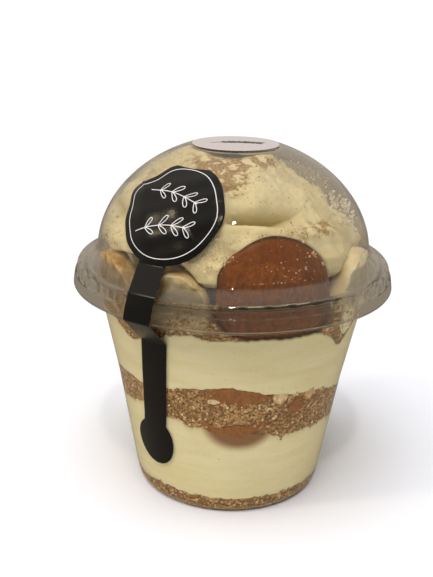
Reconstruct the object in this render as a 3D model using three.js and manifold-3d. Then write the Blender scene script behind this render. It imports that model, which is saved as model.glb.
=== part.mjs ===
// Banana pudding cheesecake in a clear dessert cup with a clear dome lid, closed by a black seal.
// Millimetres, +Z up. The origin is the centre of the cup's foot and the seal faces -Y.
// A bearing is an angle round the cup in degrees, 0 at the front (-Y) and rising towards +X.
import * as THREE from 'three';
import { mergeVertices } from 'three/addons/utils/BufferGeometryUtils.js';
import Module from 'manifold-3d';

const wasm = await Module();
wasm.setup();

// ---- driving dimensions ----
const GAP = 0.3; // kept between pieces that touch
const PLASTIC = 0.8; // wall of the cup and of the lid
const TURN = 2 * Math.PI;
const CUP_SIDES = 42;
const LAYER_SIDES = 32;
const CRUMB_SIDES = 40;
const CUTTER_SIDES = 12; // sides of the larger bodies that leave the gap round a wafer or slice
const SIMPLIFY = 0.1; // faces flatter than this are merged after a cut

// cup: a 9 oz squat tumbler
const FOOT_INNER = 21.4; // inside and outside of the flat ring that the cup stands on
const FOOT_OUTER = 25.6;
const FOOT_RAISE = 0.5; // how far the middle of the base is lifted
const BASE_RADIUS = 28.95; // the side wall carried down to the ground
const CORNER_TOP = 4; // height at which the rounded corner meets the wall
const HEEL_HEIGHT = 5.6; // small stacking step just above the corner
const HEEL_STEP = 0.25;
const WALL_KNEE = 38; // the wall leans out a little more above this height
const LEAN_LOW = 0.175;
const LEAN_HIGH = 0.21;
const LIP_HEIGHT = 73.1;
const LIP_RADIUS = 45.6;
const LIP_TUBE = 1.1; // radius of the rolled lip

// lid
const DOME_RADIUS = 41.49;
const DOME_START = 76.8;
const DOME_TOP = 108.1;
const DOME_POWER = 1.922; // a circle would be 2
const DOME_FLAT = 14.33; // radius of the flat top
const DOME_FOOT = { radius: 43.3, height: 75.9 }; // where the dome meets the sloping ledge
const SHOULDER_RADIUS = 47.5;
const SHOULDER_HEIGHT = 73.6;
const RIB_BOTTOM = 70.3;
const RIB_DEPTH = 0.4;
const RIB_COUNT = 45;
const SKIRT_RADIUS = 49;
const SKIRT_BOTTOM = 66.4;

// fillings, by the height of the top of each layer at the wall
const CRUMB_BASE_TOP = 5.9;
const CREAM_LOWER_TOP = { mean: 29.3, wave: 4.4, high: -70 };
const CRUMB_MIDDLE_TOP = { mean: 38.6, wave: 5.2, high: -18 };
const CREAM_UPPER_TOP = 61.2;
const CRUMB_TOP_TOP = 67.4;
const WALL_TRIAL = 33; // a middling wall radius, at which a layer's edge is first looked up
const CORNER_SLOPE = 0.75; // how fast the bottom layer draws in above the cup's rounded corner
const EDGE_SOFTNESS = 0.15; // how far a layer's top and bottom edges stand off the wall

// vanilla wafers and banana slices
const WAFER_RADIUS = 17;
const WAFER_HEIGHT = 7.8;
const WAFER_EDGE = 3.2; // height at which the domed face starts
const WAFER_BACK = { flat: 1.3, edge: 1.6 }; // the flat back ends this far in, and its rim is this high
const WAFER_SIDES = 20;
const SLICE_SIDES = 16;
const SLICE_LOBES = 0.025; // a cut banana is faintly three-sided
const SLICE_THICKNESS = 5.6;

// piped cream
const SWIRL_BOTTOM = CRUMB_TOP_TOP + 1.1;
const SWIRL_TOP = DOME_TOP - PLASTIC - GAP;
const SWIRL_WIDEST = 39.4;
const SWIRL_FOOT = 22; // radius of the flat part underneath
const SWIRL_CROWN = 9; // radius of the flat part on top
const SWIRL_EDGE = { low: 0.8, high: 0.2 }; // heights of its lowest and highest turns off those flat parts
const SWIRL_CREASE = { bearing: 20, low: 73.5, middle: 92, high: 104 };
const SWIRL_FOLD = 5; // depth of the crease between two turns
const SWIRL_SHALLOW = { above: 100, share: 0.4 }; // the crease is shallower near the top
const SWIRL_LUMP = 0.7;
const SWIRL_OPEN_SIDE = 75; // bearing at which the swirl stands furthest from the dome
const SWIRL_STAND_OFF = { leaning: 0.4, low: 0.8, high: 4.2, from: 88 };
const SWIRL_UNDERCUT = { depth: 3, height: 7.5 };

// seal and label
const SEAL_LIFT = 0.3;
const SEAL_THICKNESS = 0.3;
const SEAL_DISC = 15.1; // radius
const SEAL_DISC_PLACE = { innermost: 23.2, low: 80.6, bearing: -32 };
const SEAL_ON_CUP = { top: 58, slantEnd: 31, end: 14, atTop: -32.6, atEnd: -39.2, spoonTurn: -3.2 };
const SEAL_STRIP = 4.4; // half width of the strip
const SEAL_SPOON = { across: 7.3, along: 8.2 };
const SEAL_TIP = 0.8; // half width at the two blunt ends
const LABEL_RADIUS = 13.07;
const LABEL_THICKNESS = 0.25;
const LABEL_LIFT = 0.25;

// ---- shapes of the two plastic walls ----
const rad = (degrees) => (degrees * Math.PI) / 180;
const cupOuter = (z) =>
  BASE_RADIUS + LEAN_LOW * Math.min(z, WALL_KNEE) + LEAN_HIGH * Math.max(z - WALL_KNEE, 0);
const DOME_RISE =
  (DOME_TOP - DOME_START) / (1 - (DOME_FLAT / DOME_RADIUS) ** DOME_POWER) ** (1 / DOME_POWER);
const domeOuter = (z) => {
  const up = Math.max(z - DOME_START, 0) / DOME_RISE;
  return DOME_RADIUS * (1 - up ** DOME_POWER) ** (1 / DOME_POWER);
};
const domeHeight = (r) =>
  DOME_START + DOME_RISE * (1 - (r / DOME_RADIUS) ** DOME_POWER) ** (1 / DOME_POWER);
// how far out a filling may reach at height z, clear of the cup and of the dome's curve
const SHELL = PLASTIC + GAP;
const underDome = (z) => {
  const stepInAndUp = (inward, upward) => domeOuter(Math.min(z + upward, DOME_TOP)) - inward;
  const slanting = 0.75 * SHELL;
  return Math.min(stepInAndUp(SHELL, 0), stepInAndUp(slanting, slanting), stepInAndUp(0, SHELL));
};
const fillLimit = (z) => Math.min(cupOuter(z) - SHELL, underDome(z));

// a fixed, repeatable unevenness between -1 and 1
const uneven = (a, b, seed) =>
  0.5 * Math.sin(3 * a + 1.7 * seed) * Math.cos(0.9 * b + seed) +
  0.5 * Math.sin(7 * a - 2.3 * seed + 1.3 * b);
const grain = (column, row, seed) => {
  const s = Math.sin(column * 12.9898 + row * 78.233 + seed * 37.719) * 43758.5453;
  return 2 * (s - Math.floor(s)) - 1;
};

// ---- geometry helpers ----
// Writes place(angle, row, column) over every vertex of a lathe; the seam's two columns count as one.
function reshape(lathe, rowCount, segments, place) {
  const position = lathe.attributes.position;
  for (let i = 0; i < position.count; i += 1) {
    const row = i % rowCount;
    const column = Math.floor(i / rowCount) % segments;
    const p = place((column / segments) * TURN, row, column);
    position.setXYZ(i, p[0], p[1], p[2]);
  }
  return lathe;
}

// A body made of rings: ring(row, angle, column) gives [radius, height], first and last on the axis.
function ringBody(rowCount, segments, ring) {
  const blank = Array.from({ length: rowCount }, (_, row) => new THREE.Vector2(1, row));
  return reshape(new THREE.LatheGeometry(blank, segments), rowCount, segments, (angle, row, column) => {
    const [r, z] = ring(row, angle, column);
    const onAxis = row === 0 || row === rowCount - 1;
    return onAxis ? [0, 0, z] : [r * Math.sin(angle), -r * Math.cos(angle), z];
  });
}

function toManifold(geometry) {
  const bare = geometry.clone();
  bare.deleteAttribute('normal');
  bare.deleteAttribute('uv');
  const merged = mergeVertices(bare, 1e-4);
  const triVerts = [];
  const index = merged.index.array;
  for (let i = 0; i < index.length; i += 3) {
    const [a, b, c] = [index[i], index[i + 1], index[i + 2]];
    if (a !== b && b !== c && c !== a) triVerts.push(a, b, c);
  }
  const mesh = new wasm.Mesh({
    numProp: 3,
    vertProperties: new Float32Array(merged.attributes.position.array),
    triVerts: new Uint32Array(triVerts),
  });
  return new wasm.Manifold(mesh);
}

// The largest single piece of a solid, as a geometry.
function toGeometry(body) {
  const pieces = body.decompose().sort((a, b) => b.volume() - a.volume());
  const mesh = pieces[0].getMesh();
  const geometry = new THREE.BufferGeometry();
  geometry.setAttribute('position', new THREE.BufferAttribute(new Float32Array(mesh.vertProperties), 3));
  geometry.setIndex(new THREE.BufferAttribute(new Uint32Array(mesh.triVerts), 1));
  return geometry;
}

// geometry less the room that each cutter takes
function cut(geometry, cutters) {
  const rest = cutters.reduce((body, cutter) => body.subtract(toManifold(cutter)), toManifold(geometry));
  return toGeometry(rest.simplify(SIMPLIFY));
}

// ---- cup ----
function cupGeometry() {
  const arc = (from, to, steps, inset) =>
    Array.from({ length: steps + 1 }, (_, i) => {
      const t = rad(from + ((to - from) * i) / steps);
      const wide = cupOuter(CORNER_TOP) - FOOT_OUTER - inset;
      return [FOOT_OUTER + wide * Math.sin(t), CORNER_TOP - (CORNER_TOP - inset) * Math.cos(t)];
    });
  const lipCentre = [LIP_RADIUS - LIP_TUBE, LIP_HEIGHT - LIP_TUBE];
  const lip = [-90, 0, 60, 140].map((degrees) => [
    lipCentre[0] + LIP_TUBE * Math.cos(rad(degrees)),
    lipCentre[1] + LIP_TUBE * Math.sin(rad(degrees)),
  ]);
  const neck = lip[0][1];
  const outside = [
    [0, FOOT_RAISE],
    [FOOT_INNER, FOOT_RAISE],
    [FOOT_INNER + FOOT_RAISE, 0],
    ...arc(0, 90, 2, 0),
    [cupOuter(HEEL_HEIGHT), HEEL_HEIGHT],
    [cupOuter(HEEL_HEIGHT) + HEEL_STEP, HEEL_HEIGHT + HEEL_STEP],
    [cupOuter(WALL_KNEE), WALL_KNEE],
    [cupOuter(neck), neck],
  ];
  const inside = [
    [cupOuter(neck) - PLASTIC, LIP_HEIGHT - LIP_TUBE],
    [cupOuter(WALL_KNEE) - PLASTIC, WALL_KNEE],
    ...arc(90, 0, 2, PLASTIC),
    [FOOT_INNER, FOOT_RAISE + PLASTIC],
    [0, FOOT_RAISE + PLASTIC],
  ];
  const profile = [...outside, ...lip, ...inside];
  return ringBody(profile.length, CUP_SIDES, (row) => profile[row]);
}

// ---- lid ----
function lidGeometry() {
  const dome = (inset, steps) =>
    Array.from({ length: steps + 1 }, (_, i) => {
      const t = i / steps;
      const r = DOME_FLAT + (DOME_RADIUS - DOME_FLAT) * Math.sin(t * (Math.PI / 2));
      const z = domeHeight(r);
      return [r - inset * (r / DOME_RADIUS) ** 2, z - inset * (1 - (r / DOME_RADIUS) ** 4)];
    });
  const outside = [
    [0, DOME_TOP],
    ...dome(0, 5),
    [DOME_FOOT.radius, DOME_FOOT.height],
    [SHOULDER_RADIUS, SHOULDER_HEIGHT],
    [SHOULDER_RADIUS + 0.2, SHOULDER_HEIGHT - 0.5],
    [SHOULDER_RADIUS + 0.7, RIB_BOTTOM + 0.3],
    [SHOULDER_RADIUS + 1, RIB_BOTTOM],
    [SKIRT_RADIUS, SKIRT_BOTTOM + 0.5],
    [SKIRT_RADIUS - 0.3, SKIRT_BOTTOM],
  ];
  const inside = [
    [SKIRT_RADIUS - PLASTIC, SKIRT_BOTTOM + 0.4],
    [SHOULDER_RADIUS + 0.1, RIB_BOTTOM],
    [SHOULDER_RADIUS - PLASTIC - 0.2, SHOULDER_HEIGHT - PLASTIC],
    [DOME_FOOT.radius - 0.1, DOME_FOOT.height - PLASTIC],
    ...dome(PLASTIC, 4).reverse(),
    [0, DOME_TOP - PLASTIC],
  ];
  const profile = [...inside.reverse(), ...outside.reverse()];
  const ribRows = [inside.length + 3, inside.length + 4];
  return ringBody(profile.length, 2 * RIB_COUNT, (row, angle, column) => {
    const [r, z] = profile[row];
    return [ribRows.includes(row) && column % 2 ? r - RIB_DEPTH : r, z];
  });
}

// ---- fillings ----
const waveTop = (layer) => (angle, r) => {
  const wall = layer.mean + layer.wave * Math.cos(angle - rad(layer.high));
  const inward = Math.min(r / cupOuter(layer.mean), 1);
  return layer.mean + (wall - layer.mean) * inward + 0.5 * uneven(angle, r / 9, layer.mean);
};
const levelTop = (height) => (angle, r) => height + 0.35 * uneven(angle, r / 9, height);

const topOf = {
  floor: () => FOOT_RAISE + PLASTIC + GAP,
  crumbBase: levelTop(CRUMB_BASE_TOP),
  creamLower: waveTop(CREAM_LOWER_TOP),
  crumbMiddle: waveTop(CRUMB_MIDDLE_TOP),
  creamUpper: levelTop(CREAM_UPPER_TOP),
  crumbTop: levelTop(CRUMB_TOP_TOP),
};

// A layer between two surfaces, out to the cup's wall. relief is the depth of its crumbs.
// Its rings run from the axis along the bottom, up the wall and back along the top.
function layerGeometry(below, above, { relief = 0, seed = 1, segments = LAYER_SIDES } = {}) {
  const innerRing = 0.62; // share of the radius at which the ring inside the layer lies
  const sideRows = 3;
  const rowCount = 4 + sideRows;
  const onFloor = below === topOf.floor;
  const lift = onFloor ? 0 : GAP;
  return ringBody(rowCount, segments, (row, angle, column) => {
    const low = (r) => below(angle, r) + lift;
    const high = (r) => above(angle, r);
    const within = innerRing * WALL_TRIAL;
    const bumpy = relief * 0.5 * (1 + grain(column, row, seed));
    if (row === 0) return [0, below(0, 0) + lift];
    if (row === rowCount - 1) return [0, above(0, 0)];
    if (row === 1) return [innerRing * fillLimit(low(WALL_TRIAL)), low(within)];
    if (row === rowCount - 2) return [innerRing * fillLimit(high(WALL_TRIAL)), high(within) - bumpy];
    const up = (row - 2) / (sideRows - 1);
    const edge = fillLimit(low(WALL_TRIAL) + up * (high(WALL_TRIAL) - low(WALL_TRIAL)));
    const z = low(edge) + up * (high(edge) - low(edge));
    const corner = onFloor ? Math.max(0, CORNER_TOP - z) * CORNER_SLOPE : 0;
    const inMiddle = row === 3;
    return [fillLimit(z) - corner - (inMiddle ? bumpy : EDGE_SOFTNESS), z];
  });
}

// ---- wafers: a flat back and a domed face ----
// grow makes the larger body that leaves the gap round a wafer; it has fewer sides, drawn outside the circle.
function waferBody(size, grow) {
  const sides = grow ? CUTTER_SIDES : WAFER_SIDES;
  const radius = (WAFER_RADIUS * size + grow) / (grow ? Math.cos(Math.PI / sides) : 1);
  const domed = (share) => WAFER_EDGE + grow + (WAFER_HEIGHT - WAFER_EDGE) * (1 - share ** 2) ** 0.8;
  const face = (share) => [radius * share, domed(share)];
  const profile = [
    [0, -grow],
    [radius - WAFER_BACK.flat, -grow],
    [radius, WAFER_BACK.edge],
    [radius - EDGE_SOFTNESS, WAFER_EDGE + grow],
    face(0.86),
    face(0.5),
    [0, WAFER_HEIGHT + grow],
  ];
  return ringBody(profile.length, sides, (row) => profile[row]);
}

// Stands a wafer at a bearing, its back plane a given distance from the axis, leaning by tip degrees.
function standWafer({ bearing, height, reach, tip, size }, grow = 0) {
  const geometry = waferBody(size, grow);
  geometry.rotateX(Math.PI / 2 + rad(tip));
  geometry.translate(0, -reach, height);
  geometry.rotateZ(rad(bearing));
  return geometry;
}

const WAFERS = {
  wafer_front: { bearing: 20, height: 71.5, reach: 32.6, tip: 0, size: 1 },
  wafer_back: { bearing: 165, height: 71, reach: 32.6, tip: 0, size: 0.97 },
  wafer_middle_front: { bearing: 3, height: 36, reach: 25.7, tip: 10, size: 0.86 },
  wafer_middle_back: { bearing: 186, height: 35, reach: 25.5, tip: 10, size: 0.88 },
};

// ---- banana slices: soft discs pressed against the wall ----
// A slice's own plane is wrapped round the cup: across becomes a bearing, and up stays height.
function standSlice({ bearing, height, radius, turn }, grow = 0) {
  const segments = grow ? CUTTER_SIDES : SLICE_SIDES;
  const edge = (radius + grow) / (grow ? Math.cos(Math.PI / segments) : 1);
  const thickness = SLICE_THICKNESS + grow;
  const rounding = 0.9;
  const profile = [
    [0, -grow],
    [edge - rounding, -grow],
    [edge, rounding],
    [edge, thickness - rounding],
    [edge - rounding, thickness],
    [0, thickness],
  ];
  const rows = profile.length;
  const blank = profile.map(([r, z]) => new THREE.Vector2(r, z));
  return reshape(new THREE.LatheGeometry(blank, segments), rows, segments, (angle, row) => {
    const lobed = profile[row][0] * (1 + SLICE_LOBES * Math.cos(3 * angle + turn));
    const across = lobed * Math.cos(angle);
    const up = lobed * Math.sin(angle);
    const z = height + up;
    const r = fillLimit(z) - EDGE_SOFTNESS - (SLICE_THICKNESS - profile[row][1]);
    const direction = rad(bearing) + across / (fillLimit(height) - SLICE_THICKNESS / 2);
    return [r * Math.sin(direction), -r * Math.cos(direction), z];
  });
}

const SLICES = {
  banana_left: { bearing: -61.5, height: 66.5, radius: 13, turn: 0.4 },
  banana_by_seal: { bearing: -23.2, height: 68.6, radius: 10.4, turn: 2 },
  banana_right: { bearing: 68.5, height: 67.5, radius: 13.2, turn: 1 },
  banana_back_right: { bearing: 114, height: 67, radius: 13, turn: 3 },
  banana_back_left: { bearing: 215, height: 67.5, radius: 13.4, turn: 5 },
};

// ---- pieces of broken wafer in the middle crumbs ----
const CHUNK_SWELL = 0.13;
const CHUNKS = {
  wafer_piece: { bearing: 34.4, height: 37.8, size: [2.4, 1.2, 2.6] },
  crumb_chunk_pale: { bearing: 24, height: 41.4, size: [2.2, 0.8, 1.6] },
  crumb_chunk_tan: { bearing: 41.2, height: 40.6, size: [2.2, 1.3, 1.7] },
};

function chunkGeometry({ bearing, height, size }, grow = 0) {
  const ball = mergeVertices(new THREE.IcosahedronGeometry(1, 1), 1e-4);
  const position = ball.attributes.position;
  for (let i = 0; i < position.count; i += 1) {
    const tenths = (value) => Math.round(10 * value);
    const swell = 1 + CHUNK_SWELL * grain(tenths(position.getX(i)), tenths(position.getZ(i)), height);
    position.setXYZ(
      i,
      position.getX(i) * (size[0] * swell + grow),
      position.getY(i) * (size[1] * swell + grow),
      position.getZ(i) * (size[2] * swell + grow),
    );
  }
  ball.translate(0, -(fillLimit(height) - size[1] * (1 + CHUNK_SWELL) - EDGE_SOFTNESS), height);
  ball.rotateZ(rad(bearing));
  return ball;
}

// ---- piped cream swirl ----
// Its outline leans on the dome on one side and stands off it on the other; a spiral crease parts its turns.
function swirlGeometry() {
  const rows = 16;
  const turnAt = (z) => {
    const { low, middle, high } = SWIRL_CREASE;
    return z < middle ? (z - middle) / (middle - low) : (z - middle) / (high - middle);
  };
  const outline = (z, angle) => {
    const { leaning, low, high, from } = SWIRL_STAND_OFF;
    const above = Math.max(0, (z - from) / (SWIRL_TOP - from));
    const side = 0.5 + 0.5 * Math.cos(angle - rad(SWIRL_OPEN_SIDE));
    const hollow = leaning + side * (low + high * Math.sin(Math.PI * Math.min(above, 1)));
    const { depth, height } = SWIRL_UNDERCUT;
    const drawnIn = depth * Math.max(0, (SWIRL_BOTTOM + height - z) / height);
    return Math.min(fillLimit(z), SWIRL_WIDEST) - hollow - drawnIn;
  };
  return ringBody(rows, 34, (row, angle) => {
    if (row === 0) return [0, SWIRL_BOTTOM];
    if (row === rows - 1) return [0, SWIRL_TOP];
    if (row === 1) return [SWIRL_FOOT, SWIRL_BOTTOM];
    if (row === rows - 2) return [SWIRL_CROWN, SWIRL_TOP];
    const share = (row - 2) / (rows - 5);
    const rise = Math.sin(share * (Math.PI / 2)) ** 0.9; // rows lie closer near the top
    const [lowest, highest] = [SWIRL_BOTTOM + SWIRL_EDGE.low, SWIRL_TOP - SWIRL_EDGE.high];
    const z = lowest + (highest - lowest) * rise;
    const phase = turnAt(z) - (angle - rad(SWIRL_CREASE.bearing)) / TURN;
    const across = 2 * (phase - Math.floor(phase)) - 1;
    const round = Math.sqrt(Math.max(0, 1 - across ** 2));
    const fold = SWIRL_FOLD * (z > SWIRL_SHALLOW.above ? SWIRL_SHALLOW.share : 1);
    const lump = SWIRL_LUMP * uneven(angle, z / 8, 3);
    return [outline(z, angle) + Math.min(lump - fold * (1 - round), EDGE_SOFTNESS), z];
  });
}

// ---- seal: a disc on the dome, a strip over the rim and down the cup, and a spoon-shaped end ----
// The route is a list of [radius, height, bearing], and along it the strip lies on the plastic.
function sealRoute() {
  const { innermost, low, bearing } = SEAL_DISC_PLACE;
  const steps = 11; // on the dome
  const onDome = Array.from({ length: steps + 1 }, (_, i) => {
    const r = innermost + (domeOuter(low) - innermost) * Math.sin((i / steps) * (Math.PI / 2));
    return [r, domeHeight(r), bearing];
  });
  const overRim = [
    [SHOULDER_RADIUS + 0.25, SHOULDER_HEIGHT + 0.35, bearing + 1.8],
    [SHOULDER_RADIUS + 1, RIB_BOTTOM + 0.6, bearing + 1.3],
    [SKIRT_RADIUS, SKIRT_BOTTOM + 0.3, bearing + 0.7],
  ];
  const { top, slantEnd, end, atTop, atEnd, spoonTurn } = SEAL_ON_CUP;
  const share = (z, from, to) => Math.max(0, Math.min(1, (from - z) / (from - to)));
  const onCup = [top, 50, 40, slantEnd, 28, 25.5, 22.5, 19, 15.6, end].map((z) => [
    cupOuter(z),
    z,
    atTop + (atEnd - atTop) * share(z, top, slantEnd) + spoonTurn * share(z, slantEnd, 21.5),
  ]);
  return [...onDome, ...overRim, ...onCup];
}

function sealGeometry() {
  const route = sealRoute();
  const length = [0];
  for (let i = 1; i < route.length; i += 1) {
    const [a, b] = [route[i - 1], route[i]];
    length.push(length[i - 1] + Math.hypot(b[0] - a[0], b[1] - a[1]));
  }
  const discCentre = SEAL_DISC;
  const spoonCentre = length.at(-1) - SEAL_SPOON.along;
  const halfWidth = (s) => {
    const inDisc = Math.sqrt(Math.max(0, SEAL_DISC ** 2 - (s - discCentre) ** 2));
    const along = (s - spoonCentre) / SEAL_SPOON.along;
    const inSpoon = SEAL_SPOON.across * Math.sqrt(Math.max(0, 1 - along ** 2));
    const strip = s > discCentre && s < spoonCentre ? SEAL_STRIP : 0;
    return Math.max(inDisc, strip, inSpoon, SEAL_TIP);
  };
  const columns = 5; // across the strip
  const point = (i, column, lift) => {
    const [r, z, bearing] = route[i];
    const [a, b] = [route[Math.max(i - 1, 0)], route[Math.min(i + 1, route.length - 1)]];
    const run = Math.hypot(b[0] - a[0], b[1] - a[1]);
    const out = [-(b[1] - a[1]) / run, (b[0] - a[0]) / run];
    const across = halfWidth(length[i]) * ((2 * column) / columns - 1);
    const direction = rad(bearing) + across / r;
    const far = r + lift * out[0];
    return [far * Math.sin(direction), -far * Math.cos(direction), z + lift * out[1]];
  };
  // once round the section: along the outside, then back along the inside
  const around = 2 * (columns + 1);
  const vertices = [];
  const faces = [];
  route.forEach((_, i) => {
    for (let k = 0; k <= columns; k += 1) vertices.push(...point(i, k, SEAL_LIFT + SEAL_THICKNESS));
    for (let k = columns; k >= 0; k -= 1) vertices.push(...point(i, k, SEAL_LIFT));
  });
  for (let i = 0; i + 1 < route.length; i += 1) {
    for (let k = 0; k < around; k += 1) {
      const [a, b] = [i * around + k, i * around + ((k + 1) % around)];
      faces.push(a, a + around, b, b, a + around, b + around);
    }
  }
  const last = (route.length - 1) * around;
  for (let k = 0; k < columns; k += 1) {
    const [a, b, c, d] = [k, k + 1, around - 2 - k, around - 1 - k];
    faces.push(a, b, c, a, c, d);
    faces.push(last + a, last + c, last + b, last + a, last + d, last + c);
  }
  const geometry = new THREE.BufferGeometry();
  geometry.setAttribute('position', new THREE.Float32BufferAttribute(vertices, 3));
  geometry.setIndex(faces);
  return geometry;
}

// ---- label: a thin disc on the flat top ----
function labelGeometry() {
  const geometry = new THREE.CylinderGeometry(LABEL_RADIUS, LABEL_RADIUS, LABEL_THICKNESS, 36);
  geometry.rotateX(Math.PI / 2);
  geometry.translate(0, 0, DOME_TOP + LABEL_LIFT + LABEL_THICKNESS / 2);
  return geometry;
}

// ---- assembly ----
const finish = (color, roughness) => new THREE.MeshStandardMaterial({ color, roughness, metalness: 0 });
const clear = () => {
  const material = finish('#e8eae6', 0.05);
  material.transparent = true;
  material.opacity = 0.2;
  return material;
};
const crumb = () => finish('#b08c66', 0.95);
const cream = () => finish('#e9dfae', 0.6);
const group = new THREE.Group();
function add(name, geometry, material) {
  const mesh = new THREE.Mesh(geometry, material);
  mesh.name = name;
  group.add(mesh);
}

const room = GAP + 0.05;
const chunks = Object.values(CHUNKS).map((chunk) => chunkGeometry(chunk, room));
const pressedIn = [
  ...Object.values(WAFERS).map((wafer) => standWafer(wafer, room)),
  ...Object.values(SLICES).map((slice) => standSlice(slice, room)),
];

add('cup', cupGeometry(), clear());
add('lid', lidGeometry(), clear());

const baseCrumb = { relief: 0.5, seed: 2, segments: CRUMB_SIDES };
const middleCrumb = { relief: 0.6, seed: 5, segments: CRUMB_SIDES };
const topCrumb = { relief: 0.6, seed: 8 };
add('crumb_base', layerGeometry(topOf.floor, topOf.crumbBase, baseCrumb), crumb());
add('cream_lower', cut(layerGeometry(topOf.crumbBase, topOf.creamLower), pressedIn), cream());
const crumbMiddle = layerGeometry(topOf.creamLower, topOf.crumbMiddle, middleCrumb);
add('crumb_middle', cut(crumbMiddle, [...pressedIn, ...chunks]), crumb());
const creamUpper = layerGeometry(topOf.crumbMiddle, topOf.creamUpper);
add('cream_upper', cut(creamUpper, [...pressedIn, ...chunks]), cream());
add('crumb_top', cut(layerGeometry(topOf.creamUpper, topOf.crumbTop, topCrumb), pressedIn), crumb());
add('cream_swirl', cut(swirlGeometry(), pressedIn), cream());

for (const [name, wafer] of Object.entries(WAFERS)) add(name, standWafer(wafer), finish('#8a4a20', 0.7));
for (const [name, slice] of Object.entries(SLICES)) add(name, standSlice(slice), finish('#d8bd80', 0.5));
for (const [name, chunk] of Object.entries(CHUNKS)) add(name, chunkGeometry(chunk), finish('#c79a6a', 0.9));

add('seal', sealGeometry(), finish('#17181a', 0.35));
add('label', labelGeometry(), finish('#efe6e8', 0.5));

export default group;
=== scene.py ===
"""Banana pudding cheesecake in a clear cup with a domed lid: the looks.

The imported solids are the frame. Each class below builds one sub-assembly again as a fine surface in the same
place, from the same sizes, and dresses it. Lengths are in millimetres until a mesh is made. A bearing is an
angle about the cup's axis, 0 at the front and rising towards +X, and a height is above the table.
"""

import logging
from dataclasses import dataclass, field
from enum import Enum

import bpy
import numpy as np
from mathutils import Matrix, Vector


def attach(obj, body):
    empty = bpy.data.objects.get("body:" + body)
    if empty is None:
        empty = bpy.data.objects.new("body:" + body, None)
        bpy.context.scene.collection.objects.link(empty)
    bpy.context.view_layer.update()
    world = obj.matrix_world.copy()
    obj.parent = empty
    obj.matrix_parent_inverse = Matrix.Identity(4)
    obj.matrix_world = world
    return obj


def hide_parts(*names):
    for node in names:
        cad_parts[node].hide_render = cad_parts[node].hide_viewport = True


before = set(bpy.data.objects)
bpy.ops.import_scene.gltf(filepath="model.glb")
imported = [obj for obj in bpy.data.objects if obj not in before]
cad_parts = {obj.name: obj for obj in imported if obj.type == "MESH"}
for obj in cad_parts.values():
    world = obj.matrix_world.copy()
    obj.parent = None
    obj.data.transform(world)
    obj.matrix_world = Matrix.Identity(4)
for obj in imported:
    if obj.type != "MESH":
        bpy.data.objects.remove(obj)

log = logging.getLogger("cheesecake_cup")

MM = 0.001
TURN = 2 * np.pi
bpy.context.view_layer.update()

Array = np.ndarray
Material = bpy.types.Material
Tree = bpy.types.NodeTree
Socket = bpy.types.NodeSocket


class Slot(Enum):
    """The record's material slots."""

    CLEAR = "clear_plastic"
    CRUMB = "crumb"
    CREAM = "cream"
    WAFER = "wafer"
    BANANA = "banana"
    FILM = "black_film"
    LABEL = "white_label"


# ---- numbers to surfaces ----


def linear(colour: str) -> tuple[float, float, float, float]:
    """Turns an sRGB hex colour such as "#c0b386" into linear red, green, blue and alpha."""
    encoded = np.array([int(colour[i : i + 2], 16) / 255 for i in (1, 3, 5)])
    red, green, blue = np.where(encoded <= 0.04045, encoded / 12.92, ((encoded + 0.055) / 1.055) ** 2.4)
    return float(red), float(green), float(blue), 1.0


def step(edge0: float, edge1: float, x: Array) -> Array:
    """A smooth rise from 0 at edge0 to 1 at edge1: 3t^2 - 2t^3 of the clipped share t."""
    t = np.clip((x - edge0) / (edge1 - edge0), 0, 1)
    return t * t * (3 - 2 * t)


def hump(x: Array, centre: float, width: float) -> Array:
    """A bell of height 1: exp(-((x - centre) / width)^2 / 2)."""
    return np.exp(-0.5 * ((x - centre) / width) ** 2)


def around(bearing: Array, centre: float) -> Array:
    """The signed difference of two bearings in degrees, between -180 and 180."""
    return (bearing - centre + 180) % 360 - 180


def bearings(count: int) -> Array:
    """Evenly spaced bearings in degrees, once round."""
    return np.arange(count) * 360 / count


def at(bearing: Array, radius: Array, height: Array) -> Array:
    """Points from bearings in degrees, radii and heights: (r sin b, -r cos b, z)."""
    angle = np.radians(bearing)
    parts = np.broadcast_arrays(radius * np.sin(angle), -radius * np.cos(angle), height)
    return np.stack(parts, axis=-1)


def lathe(outline: Array, count: int) -> Array:
    """An outline of radii and heights turned about the axis: rows x count x 3."""
    return at(bearings(count)[None, :], outline[:, :1], outline[:, 1:])


def ball(swing: float, rings: int, columns: int) -> Array:
    """A unit ball between the latitudes -swing and swing: (cos s cos t, cos s sin t, sin s)."""
    s = np.linspace(-swing, swing, rings)[:, None]
    t = (np.arange(columns) * TURN / columns)[None, :]
    return np.stack([np.cos(s) * np.cos(t), np.cos(s) * np.sin(t), np.sin(s) + 0 * t], axis=-1)


def normals(path: Array, *run: Array) -> Array:
    """Unit vectors square to a path, n x 2: its direction (a, b) turned to (-b, a)."""
    ahead = np.gradient(path, *run, axis=0)
    square = np.stack([-ahead[:, 1], ahead[:, 0]], axis=1)
    return square / np.linalg.norm(square, axis=1, keepdims=True)


def resample(path: Array, count: int) -> tuple[Array, Array]:
    """Spaces a path's rows evenly by the length that their first two columns run.

    Args:
        path: rows of numbers, of which the first two are a place.
        count: how many rows to give back.

    Returns:
        The new rows, and the length up to each.
    """
    run = np.concatenate([[0], np.cumsum(np.hypot(*np.diff(path[:, :2], axis=0).T))])
    even = np.linspace(0, run[-1], count)
    return np.stack([np.interp(even, run, column) for column in path.T], axis=1), even


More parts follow.
